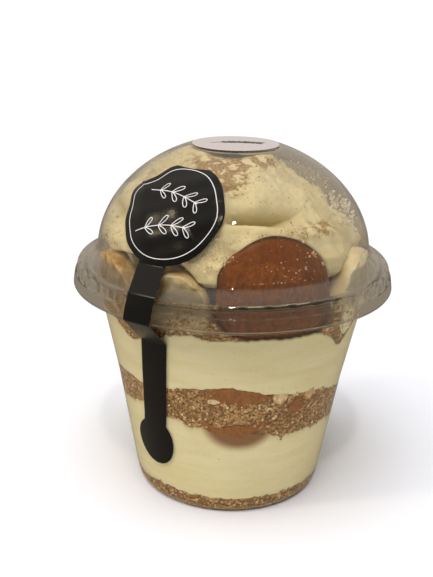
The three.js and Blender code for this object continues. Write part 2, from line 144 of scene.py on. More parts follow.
def round_corners(profile: Array, radii: list[float], pieces: int = 5) -> Array:
    """Rounds the corners of an open outline with short quadratic arcs.

    Args:
        profile: corner points, n x 2.
        radii: how far from each corner its arc starts, 0 for a sharp one.
        pieces: segments per arc.

    Returns:
        The rounded outline.
    """
    rounded = []
    for i, (corner, reach) in enumerate(zip(profile, radii)):
        if reach == 0:
            rounded.append(corner)
            continue
        before, after = profile[i - 1] - corner, profile[i + 1] - corner
        a = corner + before * min(reach / np.hypot(*before), 0.49)
        b = corner + after * min(reach / np.hypot(*after), 0.49)
        t = np.linspace(0, 1, pieces + 1)[:, None]
        rounded.extend((1 - t) ** 2 * a + 2 * t * (1 - t) * corner + t**2 * b)
    return np.array(rounded)


def refine(outline: Array, longest: float) -> Array:
    """Adds points to an outline so that no stretch is longer than a length."""
    gaps = np.hypot(*np.diff(outline, axis=0).T)
    parts = [
        np.linspace(outline[i], outline[i + 1], max(1, int(np.ceil(gap / longest))), endpoint=False)
        for i, gap in enumerate(gaps)
    ]
    return np.concatenate([*parts, outline[-1:]])


@dataclass
class Waves:
    """A smooth seeded unevenness in space: the scaled sum of plane waves of about one length.

    Each wave runs in a random direction, with a length within a third of the given one.
    """

    length: float
    seed: int
    count: int = 20

    def __call__(self, points: Array) -> Array:
        """The unevenness at points, with mean 0 and a spread of about 1."""
        rng = np.random.default_rng(self.seed)
        direction = rng.normal(size=(self.count, 3))
        direction /= np.linalg.norm(direction, axis=1, keepdims=True)
        number = TURN / (self.length * rng.uniform(0.7, 1.35, (self.count, 1)))
        phase = rng.uniform(0, TURN, self.count)
        return np.cos(points @ (direction * number).T + phase).sum(axis=-1) * np.sqrt(2 / self.count)


@dataclass
class Shape:
    """Vertices in millimetres, faces as index rows, and named numbers per vertex."""

    vertices: Array
    faces: list[Array]
    marks: dict[str, Array] = field(default_factory=dict)

    def to_object(self, name: str, material: Material, smooth: bool = True) -> bpy.types.Object:
        """Puts the arrays into a mesh object at the origin.

        Args:
            name: the object's name.
            material: its finish.
            smooth: whether its faces are shaded smooth.

        Returns:
            The new object, linked to the scene.
        """
        mesh = bpy.data.meshes.new(name)
        faces = [row for block in self.faces for row in block.tolist()]
        mesh.from_pydata((self.vertices * MM).tolist(), [], faces)
        mesh.polygons.foreach_set("use_smooth", np.full(len(faces), smooth))
        for mark, values in self.marks.items():
            mesh.attributes.new(mark, "FLOAT", "POINT").data.foreach_set("value", values.astype(np.float32))
        mesh.update()
        mesh.materials.append(material)
        piece = bpy.data.objects.new(name, mesh)
        bpy.context.scene.collection.objects.link(piece)
        return piece

    def place(self, name: str, slot: Slot, material: Material, *nodes: str, smooth: bool = True) -> None:
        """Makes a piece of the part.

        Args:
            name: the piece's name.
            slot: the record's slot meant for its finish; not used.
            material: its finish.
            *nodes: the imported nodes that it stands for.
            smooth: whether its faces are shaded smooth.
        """
        piece = self.to_object(name, material, smooth)
        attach(piece, "root")
        if nodes:
            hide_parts(*nodes)
        log.info("%s: %d faces, stands for %s", name, len(piece.data.polygons), ", ".join(nodes) or "nothing")


def grid_faces(rows: int, columns: int, start: int = 0) -> Array:
    """Quads of a grid stored row by row, whose last column joins the first.

    Args:
        rows: the number of rows.
        columns: the number of columns.
        start: the index of the grid's first vertex.

    Returns:
        An array of quads, facing along (column direction) x (row direction).
    """
    row = np.arange(rows - 1)[:, None] * columns
    column = np.arange(columns)[None, :]
    after = (column + 1) % columns
    quads = np.stack([row + column, row + after, row + columns + after, row + columns + column], axis=-1)
    return quads.reshape(-1, 4) + start


def ring_body(points: Array, marks: dict[str, Array] | None = None) -> Shape:
    """Closes a grid of rings with a pole at each end.

    The rings run from the lower pole out and round to the upper one, and each pole is the mean of its ring.

    Args:
        points: rings x columns x 3.
        marks: numbers per point, rings x columns each.

    Returns:
        A closed shape with its faces pointing out.
    """
    rows, columns, _ = points.shape
    vertices = np.concatenate([points[0].mean(0)[None], points.reshape(-1, 3), points[-1].mean(0)[None]])
    column = np.arange(columns)
    after = (column + 1) % columns
    last = 1 + (rows - 1) * columns
    low_fan = np.stack([np.zeros_like(column), 1 + after, 1 + column], axis=-1)
    high_fan = np.stack([np.full_like(column, len(vertices) - 1), last + column, last + after], axis=-1)
    kept = {
        name: np.concatenate([[values[0].mean()], values.reshape(-1), [values[-1].mean()]])
        for name, values in (marks or {}).items()
    }
    return Shape(vertices, [grid_faces(rows, columns, 1), low_fan, high_fan], kept)


def copies(body: Shape, points: Array, marks: dict[str, Array] | None = None) -> Shape:
    """Joins many bodies with one body's faces; points is bodies x vertices x 3."""
    start = (np.arange(len(points)) * points.shape[1])[:, None, None]
    faces = [(block[None] + start).reshape(-1, block.shape[1]) for block in body.faces]
    return Shape(points.reshape(-1, 3), faces, marks or {})


# ---- finishes ----


def add(
    tree: Tree, kind: str, inputs: dict, output: int | str = 0, stops: tuple = (), **settings
) -> Socket | None:
    """Adds one node.

    Args:
        tree: the material's node tree.
        kind: the node's type after "ShaderNode", such as "TexNoise".
        inputs: values, output sockets or sRGB hex colours, by the input's name or number.
        output: which of its outputs to give back, by name or number.
        stops: a colour ramp's places and sRGB hex colours.
        **settings: the node's own properties.

    Returns:
        The output's socket.
    """
    node = tree.nodes.new("ShaderNode" + kind)
    for key, value in settings.items():
        setattr(node, key, value)
    for key, value in inputs.items():
        if isinstance(value, Socket):
            tree.links.new(value, node.inputs[key])
        else:
            node.inputs[key].default_value = linear(value) if isinstance(value, str) else value
    for _ in stops[2:]:
        node.color_ramp.elements.new(0.5)
    for i, (position, colour) in enumerate(stops):
        node.color_ramp.elements[i].position = position
        node.color_ramp.elements[i].color = linear(colour)
    return node.outputs[output] if node.outputs else None


def per(length: float) -> float:
    """The scale of a noise whose features have a length in millimetres."""
    return 1 / (length * MM)


class Finish:
    """A material: each finish below has a name and its own shader."""

    name: str

    def build(self) -> Material:
        """Makes the material."""
        material = bpy.data.materials.new(self.name)
        material.use_nodes = True
        tree = material.node_tree
        tree.nodes.clear()
        shader = self.shader(tree, add(tree, "TexCoord", {}, "Object"))
        add(tree, "OutputMaterial", {"Surface": shader})
        return material

    def shader(self, tree: Tree, spot: Socket) -> Socket:
        """Adds the shader's nodes; spot is the place on the object."""
        raise NotImplementedError

    def body(self, tree: Tree, relief: Socket, depth_mm: float, strength: float, inputs: dict) -> Socket:
        """One substance whose face stands up by a relief.

        Args:
            tree: the material's node tree.
            relief: the pattern, 0 to 1.
            depth_mm: how far it stands up.
            strength: how much of that the light sees.
            inputs: the substance's own colour, roughness and so on.

        Returns:
            The shader's socket.
        """
        normal = add(tree, "Bump", {"Height": relief, "Distance": depth_mm * MM, "Strength": strength})
        return add(tree, "BsdfPrincipled", {**inputs, "Normal": normal})


@dataclass(frozen=True)
class ThermoformedPet(Finish):
    """PET sheet drawn over a mould: glassy, with the faint ripple and haze that drawing leaves.

    Lamp light and light bouncing between the foods pass it unbent, dimmed a little as by a thin wall, and
    more so where the mark "stacked" says that folds of the rim lie over each other. "mist" is condensation.
    """

    name: str = "thermoformed_pet"
    tint: str = "#f3f1ec"
    dimming: str = "#f5f3f0"  # what one face keeps of the light that passes unbent
    stacked_dimming: str = "#77736e"
    roughness: float = 0.012
    misted: float = 0.22  # roughness under mist
    mist_mm: float = 0.7
    ior: float = 1.57  # PET
    ripple_mm: float = 9.0  # the sheet's slow thickness waves
    ripple_depth_mm: float = 0.2

    def shader(self, tree: Tree, spot: Socket) -> Socket:
        """Glass for what is seen, and a plain dimming for light on its way."""
        ripple = add(tree, "TexNoise", {"Vector": spot, "Scale": per(self.ripple_mm), "Detail": 1.0})
        mist = add(tree, "Attribute", {}, "Fac", attribute_name="mist")
        fine = add(tree, "TexNoise", {"Vector": spot, "Scale": per(self.mist_mm), "Detail": 3.0})
        patchy = add(tree, "Math", {0: mist, 1: fine}, operation="MULTIPLY")
        limits = {"From Min": 0.1, "From Max": 0.6, "To Min": self.roughness, "To Max": self.misted}
        rough = add(tree, "MapRange", {"Value": patchy, **limits})
        sheet = {"Base Color": self.tint, "Roughness": rough, "IOR": self.ior, "Transmission Weight": 1.0}
        glass = self.body(tree, ripple, self.ripple_depth_mm, 0.35, sheet)
        shadow = add(tree, "LightPath", {}, "Is Shadow Ray")
        bounce = add(tree, "LightPath", {}, "Is Diffuse Ray")
        unbent = add(tree, "Math", {0: shadow, 1: bounce}, operation="MAXIMUM")
        stacked = add(tree, "Attribute", {}, "Fac", attribute_name="stacked")
        dimmed = add(tree, "Mix", {0: stacked, 6: self.dimming, 7: self.stacked_dimming}, 2, data_type="RGBA")
        clear = add(tree, "BsdfTransparent", {"Color": dimmed})
        return add(tree, "MixShader", {0: unbent, 1: glass, 2: clear})


@dataclass(frozen=True)
class Water(Finish):
    """Condensed water: clear and smooth."""

    name: str = "condensed_water"
    ior: float = 1.33

    def shader(self, tree: Tree, spot: Socket) -> Socket:
        """Glass for what is seen, and clear for a lamp's light."""
        drop = {"Base Color": "#ffffff", "Roughness": 0.02, "IOR": self.ior, "Transmission Weight": 1.0}
        bead = add(tree, "BsdfPrincipled", drop)
        clear = add(tree, "BsdfTransparent", {"Color": "#fdfdfd"})
        return add(tree, "MixShader", {0: add(tree, "LightPath", {}, "Is Shadow Ray"), 1: bead, 2: clear})


@dataclass(frozen=True)
class WhippedCream(Finish):
    """Whipped cream-cheese pudding: matt to satin, slightly see-through at its thin edges.

    Pressed against plastic it shows faint level streaks where it was spooned and a few pinholes.
    """

    name: str
    pale: str
    deep: str
    # In the piped swirl this colour is painted shade in the creases.
    stained_and_crease_shaded: str = "#94693f"  # where a soaked wafer's brown comes through
    dusted: str = "#a5814f"  # biscuit dust
    streak_mm: float = 3.2
    pinhole_mm: float = 1.1
    speck_mm: float = 0.55
    roughness: float = 0.5
    bump_mm: float = 0.12

    def shader(self, tree: Tree, spot: Socket) -> Socket:
        """Deep and pale by streaks, the stain mark and the dust mark on top, the dust as a haze and as specks.
        The stain mark is a soaked wafer's brown in the lower cream and painted shade in the swirl's creases.
        """
        flat = add(tree, "Mapping", {"Vector": spot, "Scale": (0.18, 0.18, 1.0)})
        spooned = {"Vector": flat, "Scale": per(self.streak_mm), "Detail": 3.0, "Roughness": 0.55}
        streaks = add(tree, "TexNoise", spooned)
        colour = add(tree, "ValToRGB", {0: streaks}, stops=((0.32, self.deep), (0.68, self.pale)))
        stain_and_crease_shade = add(tree, "Attribute", {}, "Fac", attribute_name="stain_and_crease_shade")
        stained_and_crease_shaded = add(tree, "Mix", {0: stain_and_crease_shade, 6: colour, 7: self.stained_and_crease_shaded}, 2, data_type="RGBA")
        dust = add(tree, "Attribute", {}, "Fac", attribute_name="dust")
        haze = add(tree, "Math", {0: dust, 1: 0.58}, operation="MULTIPLY")
        hazed = add(tree, "Mix", {0: haze, 6: stained_and_crease_shaded, 7: self.dusted}, 2, data_type="RGBA")
        grit = {"Vector": spot, "Scale": per(self.speck_mm), "Detail": 4.0, "Roughness": 0.7}
        piled = add(tree, "Math", {0: dust, 1: 0.2, 2: add(tree, "TexNoise", grit)}, operation="MULTIPLY_ADD")
        dusty = add(tree, "MapRange", {"Value": piled, "From Min": 0.635, "From Max": 0.72})
        crumbed = add(tree, "Mix", {0: dusty, 6: hazed, 7: self.dusted}, 2, data_type="RGBA")
        fine = add(tree, "TexNoise", {"Vector": spot, "Scale": per(self.pinhole_mm), "Detail": 5.0})
        pudding = {
            "Base Color": crumbed,
            "Roughness": self.roughness,
            "IOR": 1.42,  # fat and water
            "Subsurface Weight": 0.25,
            "Subsurface Radius": (1.0, 0.7, 0.35),
            "Subsurface Scale": 1.5 * MM,
        }
        return self.body(tree, fine, self.bump_mm, 0.6, pudding)


@dataclass(frozen=True)
class BiscuitCrumb(Finish):
    """Crushed baked biscuit: dry and matt, each grain its own brown between toasted crust and pale inside."""

    name: str
    stops: tuple[tuple[float, str], ...]
    roughness: float = 0.85
    grit_mm: float = 0.5

    def shader(self, tree: Tree, spot: Socket) -> Socket:
        """The mark "tone" picks a colour, and fine grit breaks it up."""
        grit = add(tree, "TexNoise", {"Vector": spot, "Scale": per(self.grit_mm), "Detail": 3.0})
        tone = add(tree, "Attribute", {}, "Fac", attribute_name="tone")
        mixed = add(tree, "Math", {0: grit, 1: 0.35, 2: tone}, operation="MULTIPLY_ADD")
        shifted = add(tree, "Math", {0: mixed, 1: 0.175}, operation="SUBTRACT")
        colour = add(tree, "ValToRGB", {0: shifted}, stops=self.stops)
        biscuit = {"Base Color": colour, "Roughness": self.roughness, "IOR": 1.45}
        return self.body(tree, grit, 0.15, 0.7, biscuit)


@dataclass(frozen=True)
class BakedWafer(Finish):
    """A baked vanilla wafer gone soft and glossy in the cream: streaked brown, darker where it is soaked."""

    name: str
    crust: str
    deep: str
    soaked: str
    roughness: float = 0.3
    # Painted highlights: light orange specks scattered over the face.
    painted_glint_colour: str = "#c48a46"
    streak_mm: float = 1.0
    painted_glint_mm: float = 0.45
    pore_mm: float = 0.8
    soaking: float = 0.5  # how far the wet zone takes on its darker colour

    def shader(self, tree: Tree, spot: Socket) -> Socket:
        """Streaks down the face, painted highlights as light orange specks, and the mark "soak" for the wet
        zone.
        """
        upright = add(tree, "Mapping", {"Vector": spot, "Scale": (1.0, 1.0, 0.5)})
        baked = {"Vector": upright, "Scale": per(self.streak_mm), "Detail": 6.0, "Roughness": 0.68}
        streaks = add(tree, "TexNoise", baked)
        face = add(tree, "ValToRGB", {0: streaks}, stops=((0.3, self.deep), (0.66, self.crust)))
        glint_noise = add(tree, "TexNoise", {"Vector": spot, "Scale": per(self.painted_glint_mm), "Detail": 2.0})
        glint_share = add(tree, "MapRange", {"Value": glint_noise, "From Min": 0.66, "From Max": 0.76, "To Max": 0.8})
        with_painted_glints = add(tree, "Mix", {0: glint_share, 6: face, 7: self.painted_glint_colour}, 2, data_type="RGBA")
        soak = add(tree, "Attribute", {}, "Fac", attribute_name="soak")
        mottled = add(tree, "Mix", {0: streaks, 6: self.soaked, 7: self.deep}, 2, data_type="RGBA")
        partly = add(tree, "Math", {0: soak, 1: self.soaking}, operation="MULTIPLY")
        wet = add(tree, "Mix", {0: partly, 6: with_painted_glints, 7: mottled}, 2, data_type="RGBA")
        pores = add(tree, "TexNoise", {"Vector": spot, "Scale": per(self.pore_mm), "Detail": 5.0})
        glaze = {"Coat Weight": 0.2, "Coat Roughness": 0.1}
        biscuit = {"Base Color": wet, "Roughness": self.roughness, "IOR": 1.45, **glaze}
        return self.body(tree, pores, 0.18, 0.8, biscuit)


@dataclass(frozen=True)
class RipeBanana(Finish):
    """Cut ripe banana, browning in the air: moist, half see-through, with a dark edge and soft blotches."""

    name: str
    flesh: str
    bruise: str
    dark: str
    blotch_mm: float = 4.5

    def shader(self, tree: Tree, spot: Socket) -> Socket:
        """Blotches of bruise, the mark "rim" for the dark edge and "core" for the seeds."""
        browning = {"Scale": per(self.blotch_mm), "Detail": 3.0, "Roughness": 0.5, "Distortion": 0.3}
        blotch = add(tree, "TexNoise", {"Vector": spot, **browning})
        stops = ((0.36, self.flesh), (0.52, self.bruise), (0.7, self.dark))
        colour = add(tree, "ValToRGB", {0: blotch}, stops=stops)
        rim = add(tree, "Attribute", {}, "Fac", attribute_name="rim")
        broken = add(tree, "Math", {0: rim, 1: blotch}, operation="MULTIPLY")
        edge = add(tree, "MapRange", {"Value": broken, "From Min": 0.3, "From Max": 0.9})
        edged = add(tree, "Mix", {0: edge, 6: colour, 7: self.dark}, 2, data_type="RGBA")
        core = add(tree, "Attribute", {}, "Fac", attribute_name="core")
        seeded = add(tree, "Mix", {0: core, 6: edged, 7: self.dark}, 2, data_type="RGBA")
        flesh = {
            "Base Color": seeded,
            "Roughness": 0.3,
            "IOR": 1.38,
            "Subsurface Weight": 0.4,
            "Subsurface Radius": (1.0, 0.6, 0.25),
            "Subsurface Scale": 2.5 * MM,
        }
        return self.body(tree, blotch, 0.25, 0.5, flesh)


@dataclass(frozen=True)
class PrintedFilm(Finish):
    """Self-adhesive film or paper in one colour, with a satin lacquer that shows its creases."""

    name: str
    colour: str
    roughness: float
    crinkle_mm: float = 2.6
    crinkle_depth_mm: float = 0.12
    shine: float = 0.4

    def shader(self, tree: Tree, spot: Socket) -> Socket:
        """One colour over fine crinkles."""
        creased = {"Vector": spot, "Scale": per(self.crinkle_mm), "Detail": 4.0, "Roughness": 0.6}
        lacquer = {"Roughness": self.roughness, "IOR": 1.5, "Specular IOR Level": self.shine}
        crinkle = add(tree, "TexNoise", creased)
        return self.body(tree, crinkle, self.crinkle_depth_mm, 0.8, {"Base Color": self.colour, **lacquer})


@dataclass(frozen=True)
class StudioPaint(Finish):
    """Matt white studio paint for the floor."""

    name: str = "studio_floor_paint"
    colour: str = "#f6f8fb"

    def shader(self, tree: Tree, spot: Socket) -> Socket:
        """One matt colour."""
        return add(tree, "BsdfPrincipled", {"Base Color": self.colour, "Roughness": 0.9})


# ---- the plastic's shapes, from which every piece takes its place ----


@dataclass(frozen=True)
class Walls:
    """Outer profiles of the cup and of the dome."""

    base_radius: float = 28.95
    lean_low: float = 0.175
    lean_high: float = 0.21
    knee: float = 38.0
    foot_outer: float = 25.6
    corner_top: float = 4.0
    dome_radius: float = 41.49
    dome_start: float = 76.8
    dome_top: float = 108.1
    dome_flat: float = 14.33
    dome_power: float = 1.922
    wall: float = 0.5  # how thick the clear wall is
    seat: float = 0.3  # how far inside the outer face the filling lies, within the wall

    def cup(self, z: Array) -> Array:
        """The cup's outer radius at a height: two straight leans that meet at the knee."""
        low = self.lean_low * np.minimum(z, self.knee)
        return self.base_radius + low + self.lean_high * np.maximum(z - self.knee, 0)

    def corner(self, z: Array) -> Array:
        """How far the rounded bottom corner draws in from the cup's lean: a quarter ellipse."""
        wide = self.cup(np.array(self.corner_top)) - self.foot_outer
        share = np.clip((self.corner_top - z) / self.corner_top, 0, 1)
        drawn_in = self.cup(z) - self.foot_outer - wide * np.sqrt(1 - share**2)
        return np.where(share > 0, drawn_in, 0.0)

    @property
    def dome_rise(self) -> float:
        """Height of the whole superellipse of which the dome is the lower part."""
        share = 1 - (self.dome_flat / self.dome_radius) ** self.dome_power
        return (self.dome_top - self.dome_start) / share ** (1 / self.dome_power)

    def dome(self, z: Array) -> Array:
        """The dome's outer radius at a height: R (1 - (h / H)^n)^(1/n)."""
        up = np.clip((z - self.dome_start) / self.dome_rise, 0, 0.9999)
        return self.dome_radius * (1 - up**self.dome_power) ** (1 / self.dome_power)

    def over_dome(self, r: Array) -> Array:
        """The dome's outer radius and height at radii, level within its flat top."""
        share = 1 - (np.maximum(r, self.dome_flat) / self.dome_radius) ** self.dome_power
        height = self.dome_start + self.dome_rise * np.maximum(share, 0) ** (1 / self.dome_power)
        return np.stack([r, height], axis=1)

    def swept(self, swing: Array) -> Array:
        """The dome's curve by an angle, pi / 2 at its flat top and 0 at its foot."""
        return self.over_dome(self.dome_flat + (self.dome_radius - self.dome_flat) * np.cos(swing))

    def filling(self, z: Array) -> Array:
        """How far out a filling reaches at a height, just inside the wall's own thickness."""
        return np.minimum(self.cup(z) - self.corner(z), self.dome(z)) - self.seat


WALLS = Walls()


@dataclass(frozen=True)
class Patch:
    """A soft-edged patch: its middle, its spread in degrees and in millimetres, and how thick or how many."""

    bearing: float
    height: float
    wide: float
    high: float
    amount: float

    def cover(self, b: Array, z: Array) -> Array:
        """The amount times a bell in both directions."""
        return self.amount * hump(around(b, self.bearing), 0, self.wide) * hump(z, self.height, self.high)


def strew(rng: np.random.Generator, patches: tuple[Patch, ...], below_top: float) -> tuple[Array, Array]:
    """Bearings and heights drawn from the patches' bells, and kept on the dome."""
    bearing = np.concatenate([rng.normal(patch.bearing, patch.wide, patch.amount) for patch in patches])
    z = np.concatenate([rng.normal(patch.height, patch.high, patch.amount) for patch in patches])
    return bearing, np.clip(z, WALLS.dome_start + 1, WALLS.dome_top - below_top)


@dataclass(frozen=True)
class Level:
    """Where two layers meet at the wall: mean + wave cos(b - high) + local bumps + fine unevenness."""

    mean: float
    wave: float = 0.0
    high: float = 0.0
    bumps: tuple[tuple[float, float, float], ...] = ()  # bearing, rise and width of each
    rough: float = 0.35
    seed: int = 1

    def height(self, bearing: Array) -> Array:
        """Heights at bearings in degrees."""
        z = self.mean + self.wave * np.cos(np.radians(bearing - self.high))
        for centre, rise, width in self.bumps:
            z = z + rise * hump(around(bearing, centre), 0, width)
        ring = at(bearing, WALLS.cup(self.mean), self.mean)
        fine = 0.6 * Waves(7, self.seed)(ring) + 0.4 * Waves(2.2, self.seed + 1)(ring)
        return z + self.rough * fine


FLOOR = Level(0.8, rough=0.0)
CRUMB_BASE_TOP = Level(5.9, bumps=((-65, -1.0, 12), (-38, 0.7, 8)), rough=0.45, seed=11)
CREAM_LOWER_BUMPS = ((-66, -1.8, 6), (-46, 1.2, 6), (-16, -0.8, 5), (26, -1.0, 6), (60, 1.2, 5))
CREAM_LOWER_TOP = Level(29.3, 4.4, -70, CREAM_LOWER_BUMPS, rough=0.5, seed=21)
CRUMB_MIDDLE_BUMPS = ((0, 2.2, 9), (-42, -1.5, 8), (68, -2.0, 10), (-29, -0.8, 4))
CRUMB_MIDDLE_TOP = Level(38.6, 5.2, -18, CRUMB_MIDDLE_BUMPS, rough=0.28, seed=31)
CREAM_UPPER_BUMPS = ((-46, -5.0, 6), (-33, -3.0, 4), (54, -6.5, 6), (-18, 1.2, 5))
CREAM_UPPER_TOP = Level(61.2, bumps=CREAM_UPPER_BUMPS, rough=0.3, seed=41)
CRUMB_TOP_BUMPS = ((-15, 9.5, 9), (-60, 4, 12), (53, 8, 6), (75, 5, 10), (122, 6, 10), (205, 6, 12))
CRUMB_TOP_TOP = Level(60.6, bumps=CRUMB_TOP_BUMPS, rough=0.5, seed=51)


# ---- clear plastic ----


@dataclass
class ClearCup:
    """The tapered cup, drawn from one sheet: foot ring, heel, wall and rolled lip."""

    foot_inner: float = 21.4
    foot_raise: float = 0.5
    heel: float = 5.6
    heel_step: float = 0.25
    lip_height: float = 73.1
    lip_radius: float = 45.6
    lip_tube: float = 1.1
    longest: float = 2.4  # the longest stretch of the section's mesh
    columns: int = 240

    def corner(self, inset: float) -> Array:
        """The bottom corner, a quarter ellipse, moved in by an inset."""
        w = WALLS
        angle = np.radians(np.linspace(0, 90, 9))
        wide = w.cup(w.corner_top) - w.foot_outer - inset
        r = w.foot_outer + wide * np.sin(angle)
        return np.stack([r, w.corner_top - (w.corner_top - inset) * np.cos(angle)], axis=1)

    def profile(self) -> Array:
        """The section from the outside of the foot up to the lip and down inside to the floor."""
        w = WALLS
        curl = np.radians(np.linspace(-90, 150, 13))
        centre = np.array([self.lip_radius - self.lip_tube, self.lip_height - self.lip_tube])
        lip = centre + self.lip_tube * np.stack([np.cos(curl), np.sin(curl)], axis=1)
        neck = lip[0, 1]
        outside = [
            [0.5, self.foot_raise],
            [self.foot_inner, self.foot_raise],
            [self.foot_inner + self.foot_raise, 0.0],
            *self.corner(0.0),
            [w.cup(self.heel), self.heel],
            [w.cup(self.heel) + self.heel_step, self.heel + self.heel_step],
            [w.cup(w.knee), w.knee],
            [w.cup(neck), neck],
        ]
        inside = [
            [w.cup(neck) - w.wall, neck + self.lip_tube],
            [w.cup(w.knee) - w.wall, w.knee],
            *self.corner(w.wall)[::-1],
            [self.foot_inner, self.foot_raise + w.wall],
            [0.5, self.foot_raise + w.wall],
        ]
        return np.array([*outside, *lip, *inside])

    def build(self, material: Material) -> None:
        """Turns the section about the axis."""
        cup = ring_body(lathe(refine(self.profile(), self.longest), self.columns))
        cup.place("clear_cup", Slot.CLEAR, material, "cup")


@dataclass(frozen=True)
class DomedLid:
    """The lid: dome with a flat top, sloping ledge, shoulder with short pressed ribs and plain skirt."""

    ribs: int = 45
    columns_per_rib: int = 14
    rib_depth: float = 0.32
    foot: tuple[float, float] = (43.3, 75.9)
    shoulder: tuple[float, float] = (47.5, 73.6)
    rib_bottom: float = 70.3
    skirt: tuple[float, float] = (49.0, 66.4)
    longest: float = 1.3  # the longest stretch of the section's mesh
    mist: tuple[Patch, ...] = (
        Patch(-66, 86, 14, 6, 0.9),
        Patch(-62, 103, 24, 3, 1.0),
        Patch(62, 98, 10, 6, 0.8),
        Patch(185, 92, 60, 9, 0.4),
    )

    def outer(self) -> Array:
        """The outer section from the top's middle down to the skirt's edge."""
        w = WALLS
        (shoulder_r, shoulder_z), (skirt_r, skirt_z) = self.shoulder, self.skirt
        corners = [
            [w.dome_radius + 0.05, w.dome_start],
            self.foot,
            self.shoulder,
            [shoulder_r + 0.7, self.rib_bottom + 0.3],
            [shoulder_r + 1.0, self.rib_bottom],
            [skirt_r, skirt_z + 0.5],
            [skirt_r - 0.3, skirt_z],
        ]
        rim = round_corners(np.array(corners), [0, 1.1, 1.2, 0.25, 0.25, 0.25, 0])
        top = [[0.5, w.dome_top], [w.dome_flat - 1.5, w.dome_top]]
        dome = w.swept(np.radians(np.linspace(90, 3, 40)))
        return refine(np.concatenate([top, dome, rim]), self.longest)

    def build(self, material: Material) -> None:
        """Turns the section about the axis, presses in the ribs, and marks the rim's folds and the mist."""
        outer = self.outer()
        outline = np.concatenate([outer - WALLS.wall * normals(outer), outer[::-1]])
        outline[:, 0] = np.maximum(outline[:, 0], 0.5)
        bearing = bearings(self.ribs * self.columns_per_rib)
        wave = 0.5 - 0.5 * np.cos(np.radians(bearing * self.ribs))
        r, z = outline[:, :1], outline[:, 1:]
        ribbed = step(self.rib_bottom - 0.1, self.rib_bottom + 0.6, z) * (r > self.foot[0])
        ribbed = ribbed * (1 - step(self.shoulder[1] - 0.9, self.shoulder[1], z))
        radius = r - self.rib_depth * ribbed * step(0.6, 0.95, wave)
        mist = sum(patch.cover(bearing, z) for patch in self.mist)
        stacked = step(self.foot[0] - 1.2, self.foot[0], r + 0 * mist)
        marks = {"mist": np.clip(mist, 0, 1), "stacked": stacked}
        lid = ring_body(at(bearing[None, :], radius, z), marks)
        lid.place("clear_domed_lid", Slot.CLEAR, material, "lid")


# ---- layers ----


@dataclass
class Layer:
    """One filling between two level lines, out to the wall."""

    name: str
    node: str
    below: Level
    above: Level
    recess: float = 0.0  # how far the body stays behind the wall, under its grains
    rows: int = 26
    columns: int = 480
    inward: tuple[float, ...] = (0.02, 0.3, 0.6, 0.85, 0.96)  # the floor's and the top's rings, by share
    level_mark: float = 0.0  # what the marks say on the floor and the top

    def surface(self, bearing: Array, share: Array) -> tuple[Array, Array]:
        """Radius and height on the wall at a share of the way up."""
        low = self.below.height(bearing)
        high = np.maximum(self.above.height(bearing), low + 0.1)
        z = low + share * (high - low)
        return WALLS.filling(z) - self.recess, z

    def marks(self, r: Array, z: Array) -> dict[str, Array]:
        """Numbers per point of the wall for the finish; none for a plain layer."""
        return {}

    def build(self, slot: Slot, material: Material) -> None:
        """Closes floor rings, wall rings and top rings."""
        bearing = bearings(self.columns)[None, :]
        r, z = self.surface(bearing, np.linspace(0, 1, self.rows)[:, None])
        inward = np.array(self.inward)[:, None]
        low = at(bearing, inward * r[:1], self.below.mean + (z[:1] - self.below.mean) * inward)
        high = at(bearing, inward * r[-1:], self.above.mean + (z[-1:] - self.above.mean) * inward)[::-1]
        flat = np.full((len(inward), self.columns), self.level_mark)
        marks = {name: np.concatenate([flat, values, flat]) for name, values in self.marks(r, z).items()}
        body = ring_body(np.concatenate([low, at(bearing, r, z), high]), marks)
        body.place(self.name, slot, material, self.node)


@dataclass
class CreamLower(Layer):
    """The lower cream, thin over the middle wafer's lower edge so that the brown shows through it."""

    wafer_bearing: float = 5.5
    wafer_height: float = 36.0
    wafer_reach: float = 12.0

    def marks(self, r: Array, z: Array) -> dict[str, Array]:
        """The stain fades over a few millimetres round the wafer's outline, and thinly under the crumbs."""
        across = np.radians(around(bearings(self.columns), self.wafer_bearing)) * r
        away = np.hypot(across, z - self.wafer_height) - self.wafer_reach
        stain_and_crease_shade = (1 - step(-2.4, 1.6, away)) * step(20, 26, z)
        return {"stain_and_crease_shade": np.maximum(stain_and_crease_shade, 0.4 * np.exp(-(z[-1:] - z) / 0.9))}


GRAIN_SIZES = (0.22, 0.8)  # smallest and largest half length of a layer's grains


def icosahedron() -> Shape:
    """Twelve vertices on a unit ball and twenty triangles facing out."""
    g = (1 + 5**0.5) / 2
    corners = np.array(
        [
            [-1, g, 0], [1, g, 0], [-1, -g, 0], [1, -g, 0],
            [0, -1, g], [0, 1, g], [0, -1, -g], [0, 1, -g],
            [g, 0, -1], [g, 0, 1], [-g, 0, -1], [-g, 0, 1],
        ]
    )  # fmt: skip
    faces = np.array(
        [
            [0, 11, 5], [0, 5, 1], [0, 1, 7], [0, 7, 10], [0, 10, 11],
            [1, 5, 9], [5, 11, 4], [11, 10, 2], [10, 7, 6], [7, 1, 8],
            [3, 9, 4], [3, 4, 2], [3, 2, 6], [3, 6, 8], [3, 8, 9],
            [4, 9, 5], [2, 4, 11], [6, 2, 10], [8, 6, 7], [9, 8, 1],
        ]
    )  # fmt: skip
    return Shape(corners / np.hypot(1, g), [faces])


